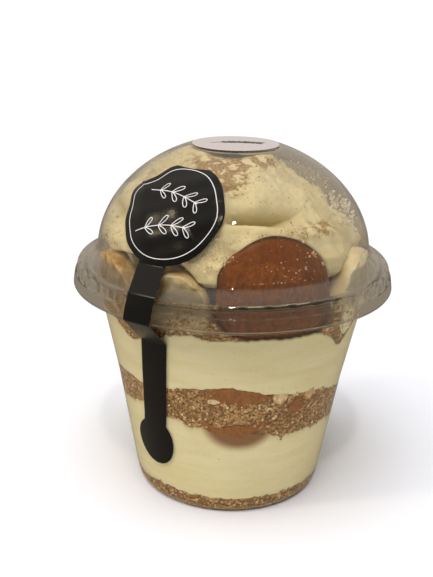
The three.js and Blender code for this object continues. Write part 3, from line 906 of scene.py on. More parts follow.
def grains(seed: int, centres: Array, tones: Array, size: Array | None = None) -> Shape:
    """Loose crumbs: many small lopsided twenty-sided grains joined into one mesh.

    Args:
        seed: for the random draws.
        centres: n x 3 points.
        tones: n colour numbers.
        size: n half lengths; without it they are a layer's grains, pressed flat against the wall.

    Returns:
        The joined shape with the mark "tone".
    """
    rng = np.random.default_rng(seed)
    body = icosahedron()
    n = len(centres)
    pressed = size is None
    if pressed:
        smallest, largest = GRAIN_SIZES
        size = smallest + (largest - smallest) * rng.beta(1.2, 2.6, n)
    stretch = size[:, None] * rng.uniform(0.78, 1.2, (n, 3))
    lumps = rng.uniform(0.8, 1.15, (n, len(body.vertices), 1))
    turn, _ = np.linalg.qr(rng.normal(size=(n, 3, 3)))
    turn = turn * np.sign(np.linalg.det(turn))[:, None, None]
    points = body.vertices[None] * lumps * stretch[:, None, :]
    points = np.einsum("nij,nkj->nki", turn, points) + centres[:, None, :]
    if pressed:
        radius = np.hypot(points[..., 0], points[..., 1])
        points[..., 2] = np.maximum(points[..., 2], FLOOR.mean - 0.2)
        most = WALLS.filling(points[..., 2]) + 0.12
        points[..., :2] *= np.minimum(1, most / np.maximum(radius, 1e-6))[..., None]
    return copies(body, points, {"tone": np.repeat(tones, len(body.vertices))})


@dataclass
class CrumbBand(Layer):
    """A layer of crumbs: a dark core, painted shade for the gaps between grains, with grains pressed against
    the wall in front of it.
    """

    recess: float = 0.5
    # Painted shade: the core's dark tone stands for the shade in the gaps between the grains.
    level_mark: float = 0.3  # the core is dark, so that it shows as the gaps between grains
    count: int = 3800
    seed: int = 1
    pale: float = 0.14  # share of pale crumbs among the brown ones
    window: tuple[float, ...] | None = None  # bearings and heights of the strip on a wafer's face
    opening: tuple[float, float] = (9.0, 5.0)  # how far the strip opens down and up at the wafer's two sides
    margin: float = 0.3  # between the strip and the layer's own limits
    clear: tuple[tuple[float, ...], ...] = ()  # bearing, height and reach of chunks that lie in front

    def marks(self, r: Array, z: Array) -> dict[str, Array]:
        """One dark tone: painted shade for the gaps between grains."""
        return {"tone": np.full(z.shape, self.level_mark)}

    def scatter(self) -> tuple[Array, Array]:
        """Grain centres just behind the wall, and their tones.

        Over a wafer they lie in a strip that widens to the layer's own height at the wafer's two sides.
        """
        rng = np.random.default_rng(self.seed)
        bearing = rng.uniform(-180, 180, self.count)
        share = rng.uniform(-0.02, 1.02, self.count)
        r, z = self.surface(bearing, share)
        below, above = self.below.height(bearing), self.above.height(bearing)
        if self.window:
            left, right, low, high = self.window
            down, up = self.opening
            corner = (2 * (bearing - left) / (right - left) - 1) ** 2
            strip_low = np.maximum(low - down * corner, below + self.margin)
            strip_high = np.minimum(high + up * corner, above - self.margin)
            loose = rng.beta(1.6, 1.6, self.count)
            share = np.where(corner > 0.2, rng.uniform(0, 1, self.count), loose)
            strip = strip_low + (strip_high - strip_low) * share
            z = np.where((bearing > left) & (bearing < right), strip, z)
            r = WALLS.filling(z) - self.recess
        z = z + rng.normal(0, 0.15, self.count)
        r = r + self.recess - rng.uniform(0.0, 0.45, self.count)
        tones = rng.beta(1.6, 1.8, self.count)
        tones = np.where(rng.random(self.count) < self.pale, 0.72 + 0.28 * tones, 0.15 + 0.55 * tones)
        kept = above - below > 0.8
        for middle, height, reach in self.clear:
            kept &= np.hypot(around(bearing, middle) * 0.6, z - height) > reach
        return at(bearing, r, z)[kept], tones[kept]

    def build_grains(self, material: Material) -> None:
        """Makes the grains' piece."""
        loose = grains(self.seed + 1, *self.scatter())
        loose.place(self.name + "_grains", Slot.CRUMB, material, smooth=False)


@dataclass
class Chunk:
    """A broken piece of biscuit held against the wall: a lumpy ball flattened to its three half lengths."""

    name: str
    bearing: float
    height: float
    half: tuple[float, float, float]  # sideways, in and out, up
    tone: float

    def build(self, slot: Slot, material: Material, *nodes: str) -> None:
        """A ball whose radius wavers by a tenth, pressed flat where it meets the wall."""
        unit = ball(0.5 * np.pi - 0.06, 40, 64)
        lump = 1 + 0.1 * Waves(1.3, int(abs(self.bearing)))(unit) + 0.05 * Waves(0.5, int(self.height))(unit)
        lumpy = unit * lump[..., None] * np.array(self.half)
        z = self.height + lumpy[..., 2]
        reach = WALLS.filling(np.array(self.height))
        r = np.minimum(reach - 0.55 * self.half[1] + lumpy[..., 1], WALLS.filling(z) + 0.1)
        bearing = self.bearing + np.degrees(lumpy[..., 0] / reach)
        tone = np.clip(self.tone + 0.08 * Waves(1.5, 3)(lumpy), 0, 1)
        chunk = ring_body(at(bearing, r, z)[:, ::-1], {"tone": tone[:, ::-1]})
        chunk.place(self.name, slot, material, *nodes)


@dataclass
class DomeCrumbs:
    """Crumbs that cling to the inside of the dome."""

    name: str
    smallest: float
    largest: float
    tones: tuple[float, float]
    seed: int
    patches: tuple[Patch, ...]
    gap: float = 0.0  # how far behind the plastic they sit

    def build(self, material: Material) -> None:
        """Puts a grain at each place drawn from the patches."""
        rng = np.random.default_rng(self.seed)
        bearing, z = strew(rng, self.patches, 1.2)
        r = WALLS.dome(z) - WALLS.wall - self.largest * 0.75 - self.gap
        size = self.smallest + (self.largest - self.smallest) * rng.beta(1.0, 2.4, len(z))
        loose = grains(self.seed + 1, at(bearing, r, z), rng.uniform(*self.tones, len(z)), size)
        loose.place(self.name, Slot.CRUMB, material, smooth=False)


@dataclass
class Condensation:
    """Beads of water on the inside of the dome."""

    seed: int
    patches: tuple[Patch, ...]
    smallest: float = 0.16
    largest: float = 0.9

    def build(self, material: Material) -> None:
        """Flattened balls, each with its middle on the plastic's inner face, joined into one mesh."""
        rng = np.random.default_rng(self.seed)
        bearing, z = strew(rng, self.patches, 1.5)
        size = self.smallest + (self.largest - self.smallest) * rng.beta(0.9, 3.2, len(z))
        centre = at(bearing, WALLS.dome(z) - WALLS.wall - 0.3 * size - 0.02, z)
        bead = ring_body(ball(0.42 * np.pi, 7, 12))
        points = centre[:, None, :] + 0.7 * size[:, None, None] * bead.vertices[None]
        copies(bead, points).place("condensation_beads", Slot.CLEAR, material)


# ---- wafers ----


@dataclass
class Wafer:
    """A round wafer stood on edge: flat back, domed face, both pressed to the wall where they reach it."""

    name: str
    node: str
    bearing: float
    height: float
    reach: float
    size: float = 1.0
    tip: float = 0.0
    swell: float = 0.0  # extra height of the domed face
    blunt: float = 0.8  # power of the face's dome, lower for a flatter middle
    dry_at: tuple[float, float] = (-0.2, -0.24)  # the drier middle's place on the face, in radii
    dry_reach: float = 0.86  # how far the drier middle reaches, in radii
    strewn: tuple[float, float] | None = None  # heights between which crumbs lie over the face
    drowned: float = 0.0  # height below which a film of cream lies over the face
    bulges: tuple[tuple[float, ...], ...] = ()  # angle, share of the radius and width in degrees of each
    radius: float = 17.0
    thickness: float = 7.8
    edge: float = 3.2
    rings: int = 70
    columns: int = 220

    @property
    def swing(self) -> Array:
        """The turn from the front to the wafer's bearing, as a matrix."""
        turn = np.radians(self.bearing)
        return np.array([[np.cos(turn), -np.sin(turn), 0], [np.sin(turn), np.cos(turn), 0], [0, 0, 1]])

    def lobe(self, spin: Array) -> Array:
        """How the outline departs from round, by the angle in radians from the wafer's right side."""
        lobe = 1 + 0.008 * np.cos(3 * spin + self.bearing) + 0.005 * np.cos(7 * spin)
        for angle, rise, width in self.bulges:
            lobe = lobe + rise * hump(around(np.degrees(spin), angle), 0, width)
        return lobe

    def hollow(self, points: Array) -> Array:
        """Presses another piece's points in behind the wafer's back, with a soft lip round its edge."""
        across, out = self.swing[:, 0], -self.swing[:, 1]
        sideways = points @ across
        up = points[..., 2] - self.height
        reach = np.hypot(sideways, up) / (self.radius * self.size * self.lobe(np.arctan2(up, sideways)))
        back = self.reach - 0.4
        most = np.interp(reach, [0, 0.93, 0.98, 1.02, 1.1], [back, back, back + 2.4, back + 4.6, 60])
        return points - np.maximum(points @ out - most, 0)[..., None] * out

    def flat(self) -> Array:
        """The wafer lying down: rings from the back's middle, over the edge, to the middle of the face."""
        back = np.linspace(0.01, 0.93, 8)
        side = np.radians(np.linspace(-80, 60, 10))
        face = np.sin(np.linspace(np.radians(78), 0.01, self.rings))
        share = np.concatenate([back, 0.94 + 0.06 * np.cos(side), face * 0.975])
        mid = 0.5 * self.edge
        domed = self.edge + (self.thickness + self.swell - self.edge) * (1 - face**2) ** self.blunt
        up = np.concatenate([np.zeros_like(back), mid + mid * np.sin(side), domed])
        spin = (np.arange(self.columns) * TURN / self.columns)[None, :]
        reach = self.radius * self.size * share[:, None] * self.lobe(spin)
        return np.stack([reach * np.cos(spin), reach * np.sin(spin), up[:, None] + 0 * spin], axis=-1)

    def reach_out(self, flat: Array, points: Array) -> Array:
        """How far out the points may go: to the wall, and less under crumbs and under a film of cream.

        The film's shore is lowest in the middle of the face and rises with the square of the way out.
        """
        z = points[..., 2]
        most = WALLS.filling(z) + 0.06
        if self.strewn:
            low, high = self.strewn
            wander = 0.8 * Waves(6, 9)(points)
            strip = step(low - 0.5, low + 0.5, z + wander) * (1 - step(high - 0.5, high + 0.5, z + wander))
            shore = self.drowned + 0.03 * flat[..., 0] ** 2
            most = most - 0.6 * strip - 0.7 * (1 - step(shore - 0.5, shore + 0.5, z + 0.4 * wander))
        return most

    def build(self, material: Material) -> None:
        """Stands the wafer up, roughens it, presses it against the wall and marks what is soaked."""
        flat = self.flat()
        tilt = np.radians(90 + self.tip)
        stand = np.array([[1, 0, 0], [0, np.cos(tilt), -np.sin(tilt)], [0, np.sin(tilt), np.cos(tilt)]])
        points = (flat @ stand.T + np.array([0, -self.reach, self.height])) @ self.swing.T
        relief = 0.10 * Waves(6, 5)(points) + 0.05 * Waves(1.7, 6)(points)
        points = points - self.swing[:, 1] * relief[..., None]
        r = np.hypot(points[..., 0], points[..., 1])
        points[..., :2] *= np.minimum(1, self.reach_out(flat, points) / r)[..., None]
        share = flat[..., :2] / (self.radius * self.size) - self.dry_at
        away = np.hypot(share[..., 0], share[..., 1])
        away = away + 0.03 * Waves(5, 8)(points) + 0.015 * Waves(1.8, 10)(points)
        soak = step(self.dry_reach - 0.03, self.dry_reach + 0.04, away)
        ring_body(points, {"soak": soak}).place(self.name, Slot.WAFER, material, self.node)


# ---- banana ----


@dataclass
class BananaSlice:
    """A thick slice pressed flat to the wall: faintly three-lobed, a small round edge, three seed lines."""

    name: str
    node: str
    bearing: float
    height: float
    radius: float
    turn: float
    thickness: float = 5.6
    rings: int = 40
    columns: int = 150

    def build(self, material: Material) -> None:
        """Rings from the middle of the inner face, round the edge, to the middle of the outer face."""
        inner = np.linspace(0.01, 0.92, 8)
        side = np.radians(np.linspace(-90, 90, 13))
        outer = np.linspace(0.93, 0.01, self.rings)
        share = np.concatenate([inner, 0.93 + 0.07 * np.cos(side), outer])[:, None]
        depth = np.concatenate([np.zeros(8), 0.5 + 0.5 * np.sin(side), np.ones(self.rings)])[:, None]
        spin = (np.arange(self.columns) * TURN / self.columns)[None, :]
        lobe = 1 + 0.035 * np.cos(3 * spin + self.turn) + 0.012 * np.cos(8 * spin + self.turn)
        across = self.radius * share * lobe * np.cos(spin)
        z = self.height + self.radius * share * lobe * np.sin(spin)
        middle = WALLS.filling(np.array(self.height)) - self.thickness / 2
        bearing = self.bearing + np.degrees(across / middle)
        sunk = 1 - step(0, 1.5, z - CREAM_UPPER_TOP.height(bearing))
        r = WALLS.filling(z) - self.thickness * (1 - depth) - 0.8 * sunk
        points = at(bearing, r, z)
        sag = 0.12 * (1 + Waves(5, int(10 * self.turn))(points)) * depth
        points[..., :2] *= (1 - sag / np.maximum(r, 1))[..., None]
        seeds = hump(share, 0.2, 0.07) * np.clip(np.cos(3 * (spin + self.turn)), 0, 1) ** 2
        marks = {"rim": step(0.88, 0.98, share + 0 * spin), "core": 0.45 * seeds * (depth > 0.9)}
        ring_body(points, marks).place(self.name, Slot.BANANA, material, self.node)


# ---- piped swirl ----


@dataclass(frozen=True)
class Fold:
    """A crease in the swirl: a groove on a rising line, soft above it, sharp below, and shut at both ends."""

    bearing: float
    height: float
    climb: float  # millimetres per squared degree to the right of the bearing
    depth: float
    soft: float
    sharp: float
    left: float
    right: float
    taper: float = 14.0  # degrees over which the right end runs out

    def amount(self, b: Array, z: Array) -> Array:
        """1 on the line, falling as exp(-away / soft) above it and as a bell of width sharp below it."""
        along = around(b, self.bearing)
        away = z - self.height - self.climb * np.maximum(along, 0) ** 2
        held = step(-self.left - 6, -self.left + 4, along)
        held = held * (1 - step(self.right - self.taper, self.right, along))
        lip = self.sharp + 0.06 * np.clip(along, 0, None)
        return held * np.where(away > 0, np.exp(-np.abs(away) / self.soft), hump(away / lip, 0, 1))


@dataclass
class CreamSwirl:
    """The piped top: rolls of cream parted by a spiral crease, leaning on the dome at the left and top."""

    wafers: tuple[Wafer, ...]  # the wafers that stand in it
    bottom: float = 68.5
    inset: float = 0.85  # from the plastic's outer face to where the cream may reach
    rows: int = 215
    columns: int = 440
    folds: tuple[Fold, ...] = (
        Fold(6, 94.4, 0.0022, 5.4, 2.6, 0.45, 8, 44, 34),
        Fold(120, 93.0, 0.002, 3.2, 2.4, 0.7, 40, 40),
        Fold(215, 90.0, 0.0015, 3.0, 2.2, 0.7, 42, 44),
        Fold(-75, 92.0, 0.0, 1.4, 2.6, 1.2, 20, 24),
        Fold(150, 102.0, 0.0, 1.6, 2.0, 0.8, 60, 60),
    )
    stand_off: tuple[tuple[float, float], ...] = (
        (68, 4.4), (74, 2.8), (77, 2.4), (82.7, 1.8), (88.6, 3.4),
        (92.6, 5.6), (101, 5.4), (104, 5.2), (107, 4.4), (108.1, 3),
    )  # height, and how far the free side stays off the dome  # fmt: skip
    lobes: tuple[tuple[float, float], ...] = (
        (-90, 77.5), (-75, 80), (-65, 79.4), (-53, 81.6), (-43, 82), (-30, 82.8), (-21.3, 81.8),
        (-16, 78.2), (-11, 75.4), (-6, 74.4), (0, 73.2), (20, 70), (36, 71.8), (42, 73.8), (50, 75.6),
        (57, 78), (66, 80.5), (84, 79), (98, 79.5), (114, 81), (130, 79), (148, 74), (165, 70.5),
        (182, 74.5), (198, 80), (215, 81.5), (232, 79.5), (250, 75.5), (270, 77.5),
    )  # bearing, and height of the lowest roll's under edge  # fmt: skip
    dust: tuple[Patch, ...] = (
        Patch(-16, 105.3, 12, 2.1, 2.8),
        Patch(-6, 102.8, 8, 1.7, 1.9),
        Patch(-9, 85.5, 7, 3.5, 0.45),
        Patch(4, 106.8, 28, 0.7, 2.6),
        Patch(46, 91.4, 9, 1.5, 1.1),
        Patch(34, 90.0, 16, 1.2, 0.6),
        Patch(30, 104.5, 8, 1.2, 0.3),
        Patch(-62, 101.5, 10, 2.0, 0.5),
        Patch(170, 101.0, 40, 3.0, 0.5),
    )

    def depth(self, b: Array, r: Array, z: Array) -> Array:
        """How far in from the plastic the cream lies.

        It is the stand-off of its side, the folds, the undercut below the lowest roll's under edge and a slow
        unevenness, and less of all near the axis.
        """
        away = around(b, 92)
        far_side = 1 - 0.6 * step(30, 90, away) - 0.3 * step(110, 160, away)
        side = np.where(away < 0, step(-84, -14, away), far_side)
        depth = 0.1 + np.interp(z, *np.array(self.stand_off).T) * side
        for fold in self.folds:
            depth = depth + fold.depth * fold.amount(b, z)
        edge = np.interp(b, *np.array(self.lobes).T, period=360)
        edge = edge + 0.25 * Waves(9, 66)(at(b, 40.0, 80.0))
        under, over = np.clip(edge - z, 0, None), np.clip(z - edge, 0, None)
        depth = depth + 7.0 * (1 - np.exp(-under / 0.9)) + 1.4 * np.exp(-over / 1.1)
        surface = at(b, r, z)
        lumps = 0.5 * Waves(19, 61)(surface) + 0.3 * Waves(8, 62)(surface) + 0.07 * Waves(2.4, 63)(surface)
        depth = np.maximum(depth - lumps + 0.35, 0) + self.inset
        return depth * (0.35 + 0.65 * step(0, 8, r))

    def build(self, material: Material) -> None:
        """Moves a grid in from the plastic, hollows it for the wafers, and closes it below and on top."""
        w = WALLS
        foot = np.array([[40.6, self.bottom], [w.dome_radius - 0.15, w.dome_start - 0.6]])
        dome = w.swept(np.linspace(0.5 * np.pi, 0, 400))[::-1]
        line, _ = resample(np.concatenate([foot, dome, [[0.4, w.dome_top]]]), self.rows)
        b, z = np.meshgrid(bearings(self.columns), line[:, 1])
        r = np.broadcast_to(line[:, :1], b.shape)
        depth, inward = self.depth(b, r, z), normals(line)
        points = at(b, np.maximum(r + depth * inward[:, :1], 0.3), z + depth * inward[:, 1:])
        for wafer in self.wafers:
            points = wafer.hollow(points)
        surface = at(b, r, z)
        dust = sum(patch.cover(b, z) for patch in self.dust)
        dust = dust * np.clip(0.62 + 0.5 * Waves(3.4, 64)(surface) + 0.3 * Waves(1.3, 65)(surface), 0, 1.4)
        # Painted shade: the folds' grooves are darkened to an olive yellow through the stain mark.
        crease_shade = 0.7 * sum(fold.amount(b, z) for fold in self.folds)
        marks = {"dust": np.clip(dust, 0, 1), "stain_and_crease_shade": np.clip(crease_shade, 0, 1)}
        marks = {name: np.concatenate([values[:1], values]) for name, values in marks.items()}
        points = np.concatenate([points[:1] * np.array([0.5, 0.5, 1.0]), points])
        ring_body(points, marks).place("cream_swirl_piped", Slot.CREAM, material, "cream_swirl")


# ---- seal and label ----


def sprig(left: float, low: float, high: float, leaf: float, pairs: int) -> list[Array]:
    """A drawn leafy sprig: one bowed stem from left to -left, with pairs of looped leaves.

    Args:
        left: where the stem starts, across.
        low: the stem's height at its start.
        high: the stem's height at its end.
        leaf: a leaf's length.
        pairs: how many pairs of leaves.

    Returns:
        One path per stroke, n x 2.
    """
    t = np.linspace(0, 1, 40)
    stem = np.stack([left - 2 * left * t, low + (high - low) * t + 1.6 * np.sin(np.pi * t)], axis=1)
    slope = np.gradient(stem, axis=0)
    paths = [stem]
    round_leaf = np.linspace(0, TURN, 26)[:-1]
    for share in np.linspace(0.22, 0.97, pairs):
        i = int(share * 39)
        for side in (-1, 1):
            turn = np.arctan2(slope[i, 1], slope[i, 0]) + side * 0.75
            long = leaf * (0.62 - 0.22 * abs(share - 0.55)) * 0.5
            x = long * (1 - np.cos(round_leaf))
            y = 0.27 * long * np.sin(round_leaf) * (1 - 0.45 * np.cos(round_leaf))
            c, s = np.cos(turn), np.sin(turn)
            paths.append(stem[i] + np.stack([x * c - y * s, x * s + y * c], axis=1))
    return paths


def ribbon(path: Array, half: float) -> Array:
    """The long edges of a flat strip along a path, n x 4 x 2: its two sides below, and back above."""
    aside = half * normals(path)
    return np.stack([path + aside, path - aside, path - aside, path + aside], axis=1)


def join(shapes: list[Shape]) -> Shape:
    """Puts shapes without marks into one."""
    starts = np.cumsum([0] + [len(shape.vertices) for shape in shapes[:-1]])
    faces = [block + start for shape, start in zip(shapes, starts) for block in shape.faces]
    return Shape(np.concatenate([shape.vertices for shape in shapes]), faces)


@dataclass
class Seal:
    """A black film seal: a disc on the dome, a strip over the rim and down the cup, a spoon-shaped end."""

    lid: DomedLid = DomedLid()
    disc: float = 15.1  # from the film's upper end to the disc's middle
    radius: float = 15.3
    widest: float = 16.5  # where the search for the disc's edge starts
    narrowest: float = 0.3  # half the film's width at its two ends
    innermost: float = 23.2
    low: float = 80.6
    bearing: float = -32.0
    strip: float = 4.4
    spoon: tuple[float, float] = (7.3, 8.2)
    lift: float = 0.25
    thickness: float = 0.15
    rows: int = 349
    columns: int = 60
    cup_top: float = 58.0
    slant_end: float = 31.0
    end: float = 14.0
    at_top: float = -32.6
    at_end: float = -39.2
    spoon_turn: float = -3.2
    pulls: tuple[tuple[float, float, float], ...] = (
        (-35, 1.7, 22), (-4, 1.2, 12), (84, 1.2, 20), (167, 1.9, 8), (135, -1.4, 13), (-165, -0.7, 22),
    )  # angle, rise and width of each pull in the disc's edge  # fmt: skip
    ring_inset: float = 1.9
    ink_width: float = 0.11

    def route(self) -> Array:
        """Rows of radius, height and bearing along the strip's middle."""
        w, lid = WALLS, self.lid
        swing = np.sin(np.linspace(0, np.pi / 2, 24))
        r = self.innermost + (w.dome(np.array(self.low)) - self.innermost) * swing
        dome = np.column_stack([w.over_dome(r), np.full_like(r, self.bearing)])
        rim = [
            [lid.shoulder[0] + 0.25, lid.shoulder[1] + 0.35, self.bearing + 1.8],
            [lid.shoulder[0] + 1.0, lid.rib_bottom + 0.6, self.bearing + 1.3],
            [lid.skirt[0], lid.skirt[1] + 0.3, self.bearing + 0.7],
        ]
        z = np.array([self.cup_top, 50, 40, self.slant_end, 28, 25.5, 22.5, 19, 15.6, self.end])
        slant = np.clip((self.cup_top - z) / (self.cup_top - self.slant_end), 0, 1)
        veer = np.clip((self.slant_end - z) / (self.slant_end - 21.5), 0, 1)
        bearing = self.at_top + (self.at_end - self.at_top) * slant + self.spoon_turn * veer
        return np.concatenate([dome, rim, np.column_stack([w.cup(z), z, bearing])])

    def disc_outline(self, angle: Array) -> Array:
        """The crinkled disc's radius by the angle in its own plane, in degrees from its right side."""
        pulled = sum(rise * hump(around(angle, centre), 0, width) for centre, rise, width in self.pulls)
        return self.radius + pulled

    def half_widths(self, run: Array) -> list[Array]:
        """How far the film reaches to the left and to the right at lengths along the route.

        At the disc this is found by going round: the edge's angle gives its radius, and that its new angle.
        """
        up = self.disc - run
        across, along = self.spoon
        middle = run[-1] - along
        bowl = across * np.sqrt(np.clip(1 - ((run - middle) / along) ** 2, 0, 1))
        band = np.where((run > self.disc) & (run < middle), self.strip, self.narrowest)
        sides = []
        for side in (-1, 1):
            reach = np.sqrt(np.clip(self.widest**2 - up**2, 0, None))
            for _ in range(12):
                radius = self.disc_outline(np.degrees(np.arctan2(up, side * reach)))
                reach = np.sqrt(np.clip(radius**2 - up**2, 0, None))
            sides.append(np.maximum(reach, np.maximum(band, bowl)))
        return sides

    def fold(self, across: Array, along: Array) -> Array:
        """How far the film stands up: two pinched folds that run in from the disc's edge, and cockles."""
        up = self.disc - along
        inside = 1 - step(self.disc + 13, self.disc + 17, along)
        right_fold = hump(0.75 * (across - 8) + 0.66 * (up + 5), 0, 0.55)
        right_fold = right_fold * step(4.5, 8, across) * step(-9, -5, up)
        left_fold = hump(0.5 * (across + 12) + 0.87 * (up - 5.5), 0, 0.4) * step(-8.5, -11, across)
        cockle = 0.12 * np.sin(0.55 * across + 0.3 * up) + 0.1 * np.sin(0.8 * up - 0.35 * across + 1.0)
        return inside * (0.4 * right_fold + 0.25 * left_fold + cockle)

    def on_film(self, across: Array, along: Array, lift: Array) -> Array:
        """Points beside the route: the bearing turns by across / radius, and lift is along the normal."""
        rows, run = resample(self.route(), self.rows)
        rows = np.column_stack([rows, normals(rows[:, :2], run)])
        r, z, bearing, out_r, out_z = (np.interp(along, run, column) for column in rows.T)
        raised = lift + self.fold(across, along)
        return at(bearing + np.degrees(across / r), r + raised * out_r, z + raised * out_z)

    def stroke(self, path: Array) -> Shape:
        """A flat ribbon of ink along a path, given across and up from the disc's middle."""
        edges = ribbon(path, self.ink_width)
        lift = self.lift + self.thickness + np.array([0.02, 0.02, 0.07, 0.07]) + 0 * edges[..., 0]
        return ring_body(self.on_film(edges[..., 0], self.disc - edges[..., 1], lift))

    def border(self) -> Array:
        """The ring a little inside the disc's edge, where the strip leaves it too."""
        angle = np.linspace(0, 360, 260)
        shape = self.disc_outline(angle) - self.ring_inset
        shape = np.concatenate([shape[-12:], shape, shape[:12]])
        smooth = np.convolve(shape, np.ones(13) / 13, "same")[12:-12]
        turn = np.radians(angle)
        return np.stack([smooth * np.cos(turn), smooth * np.sin(turn)], axis=1)

    def build(self, film: Material, ink: Material) -> None:
        """The film as a thin closed band, and the printed ring and sprigs as ribbons on it."""
        _, run = resample(self.route(), self.rows)
        left, right = self.half_widths(run)
        across = -left[:, None] + (left + right)[:, None] * np.linspace(0, 1, self.columns + 1)[None, :]
        along = np.broadcast_to(run[:, None], across.shape)
        top = self.on_film(across, along, self.lift + self.thickness)
        under = self.on_film(across, along, self.lift)
        loop = np.concatenate([top, under[:, ::-1]], axis=1)
        rows, columns, _ = loop.shape
        k = np.arange(self.columns)
        cap = np.stack([k, k + 1, columns - 2 - k, columns - 1 - k], axis=1)
        faces = [grid_faces(rows, columns)[:, ::-1], cap, (rows - 1) * columns + cap[:, ::-1]]
        Shape(loop.reshape(-1, 3), faces).place("seal_film", Slot.FILM, film, "seal")
        paths = [self.border(), *sprig(-8.2, 5.0, 3.0, 6.2, 4), *sprig(-8.0, -7.6, -4.4, 6.2, 4)]
        join([self.stroke(path) for path in paths]).place("seal_ink", Slot.FILM, ink)


@dataclass
class TopLabel:
    """A round white paper label on the flat top, with a small printed sprig."""

    radius: float = 13.07
    bottom: float = 108.35
    thickness: float = 0.25
    ink_width: float = 0.16

    def stroke(self, path: Array) -> Shape:
        """A flat ribbon of ink along a path."""
        edges = ribbon(path, self.ink_width)
        lift = self.bottom + self.thickness + np.array([0.01, 0.01, 0.05, 0.05]) + 0 * edges[..., 0]
        return ring_body(np.concatenate([edges, lift[..., None]], axis=-1))

    def build(self, paper: Material, ink: Material) -> None:
        """A thin disc with a softly turned edge, and the sprig as ribbons on it."""
        r = np.array([0.2, 0.8, 0.97, 1.0, 1.0, 0.97, 0.8, 0.5, 0.2]) * self.radius
        z = self.bottom + self.thickness * np.array([0, 0, 0, 0.2, 0.8, 1.0, 1.0, 1.0, 1.0])
        ring_body(lathe(np.stack([r, z], axis=1), 120)).place("label_paper", Slot.LABEL, paper, "label")
        printed = join([self.stroke(path) for path in sprig(-7.5, -0.5, 0.3, 3.6, 9)])
        printed.place("label_ink", Slot.LABEL, ink)


# ---- studio ----


@dataclass(frozen=True)
class PhotoCamera:
    """The photograph's viewpoint: lengths in millimetres, angles in degrees, focal length in its pixels."""

    distance: float = 263.04
    height: float = 151.39
    pitch: float = 18.63
    yaw: float = -1.06
    roll: float = 1.222
    focal: float = 883.43
    tall: int = 577
    sensor: float = 36.0

    def build(self) -> None:
        """Places the camera and makes it the scene's."""
        pitch, yaw, roll = np.radians([self.pitch, self.yaw, self.roll])
        forward = Vector((np.sin(yaw) * np.cos(pitch), np.cos(yaw) * np.cos(pitch), -np.sin(pitch)))
        level = Vector((np.cos(yaw), -np.sin(yaw), 0))
        upward = level.cross(forward)
        right = np.cos(roll) * level + np.sin(roll) * upward
        up = np.cos(roll) * upward - np.sin(roll) * level
        camera = bpy.data.objects.new("photo_camera", bpy.data.cameras.new("photo_camera"))
        bpy.context.scene.collection.objects.link(camera)
        turned = Matrix((right, up, -forward)).transposed().to_4x4()
        turned.translation = Vector((0, -self.distance, self.height)) * MM
        camera.matrix_world = turned
        camera.data.sensor_width = self.sensor
        camera.data.lens = self.focal / self.tall * self.sensor
        camera.data.clip_start = 0.01
        bpy.context.scene.camera = camera


@dataclass(frozen=True)
class SunLamp:
    """A far lamp: its direction as seen from the cup, how wide it is in degrees, and its strength."""

    name: str
    direction: tuple[float, float, float]
    width: float
    strength: float
    colour: str
    mirrored: bool = True  # whether glossy surfaces show it

    def build(self) -> None:
        """Places the lamp."""
        lamp = bpy.data.lights.new(self.name, "SUN")
        lamp.angle = np.radians(self.width)
        lamp.energy = self.strength
        lamp.color = linear(self.colour)[:3]
        holder = bpy.data.objects.new(self.name, lamp)
        bpy.context.scene.collection.objects.link(holder)
        holder.rotation_euler = Vector(self.direction).to_track_quat("Z", "Y").to_euler()
        holder.visible_glossy = holder.visible_transmission = self.mirrored


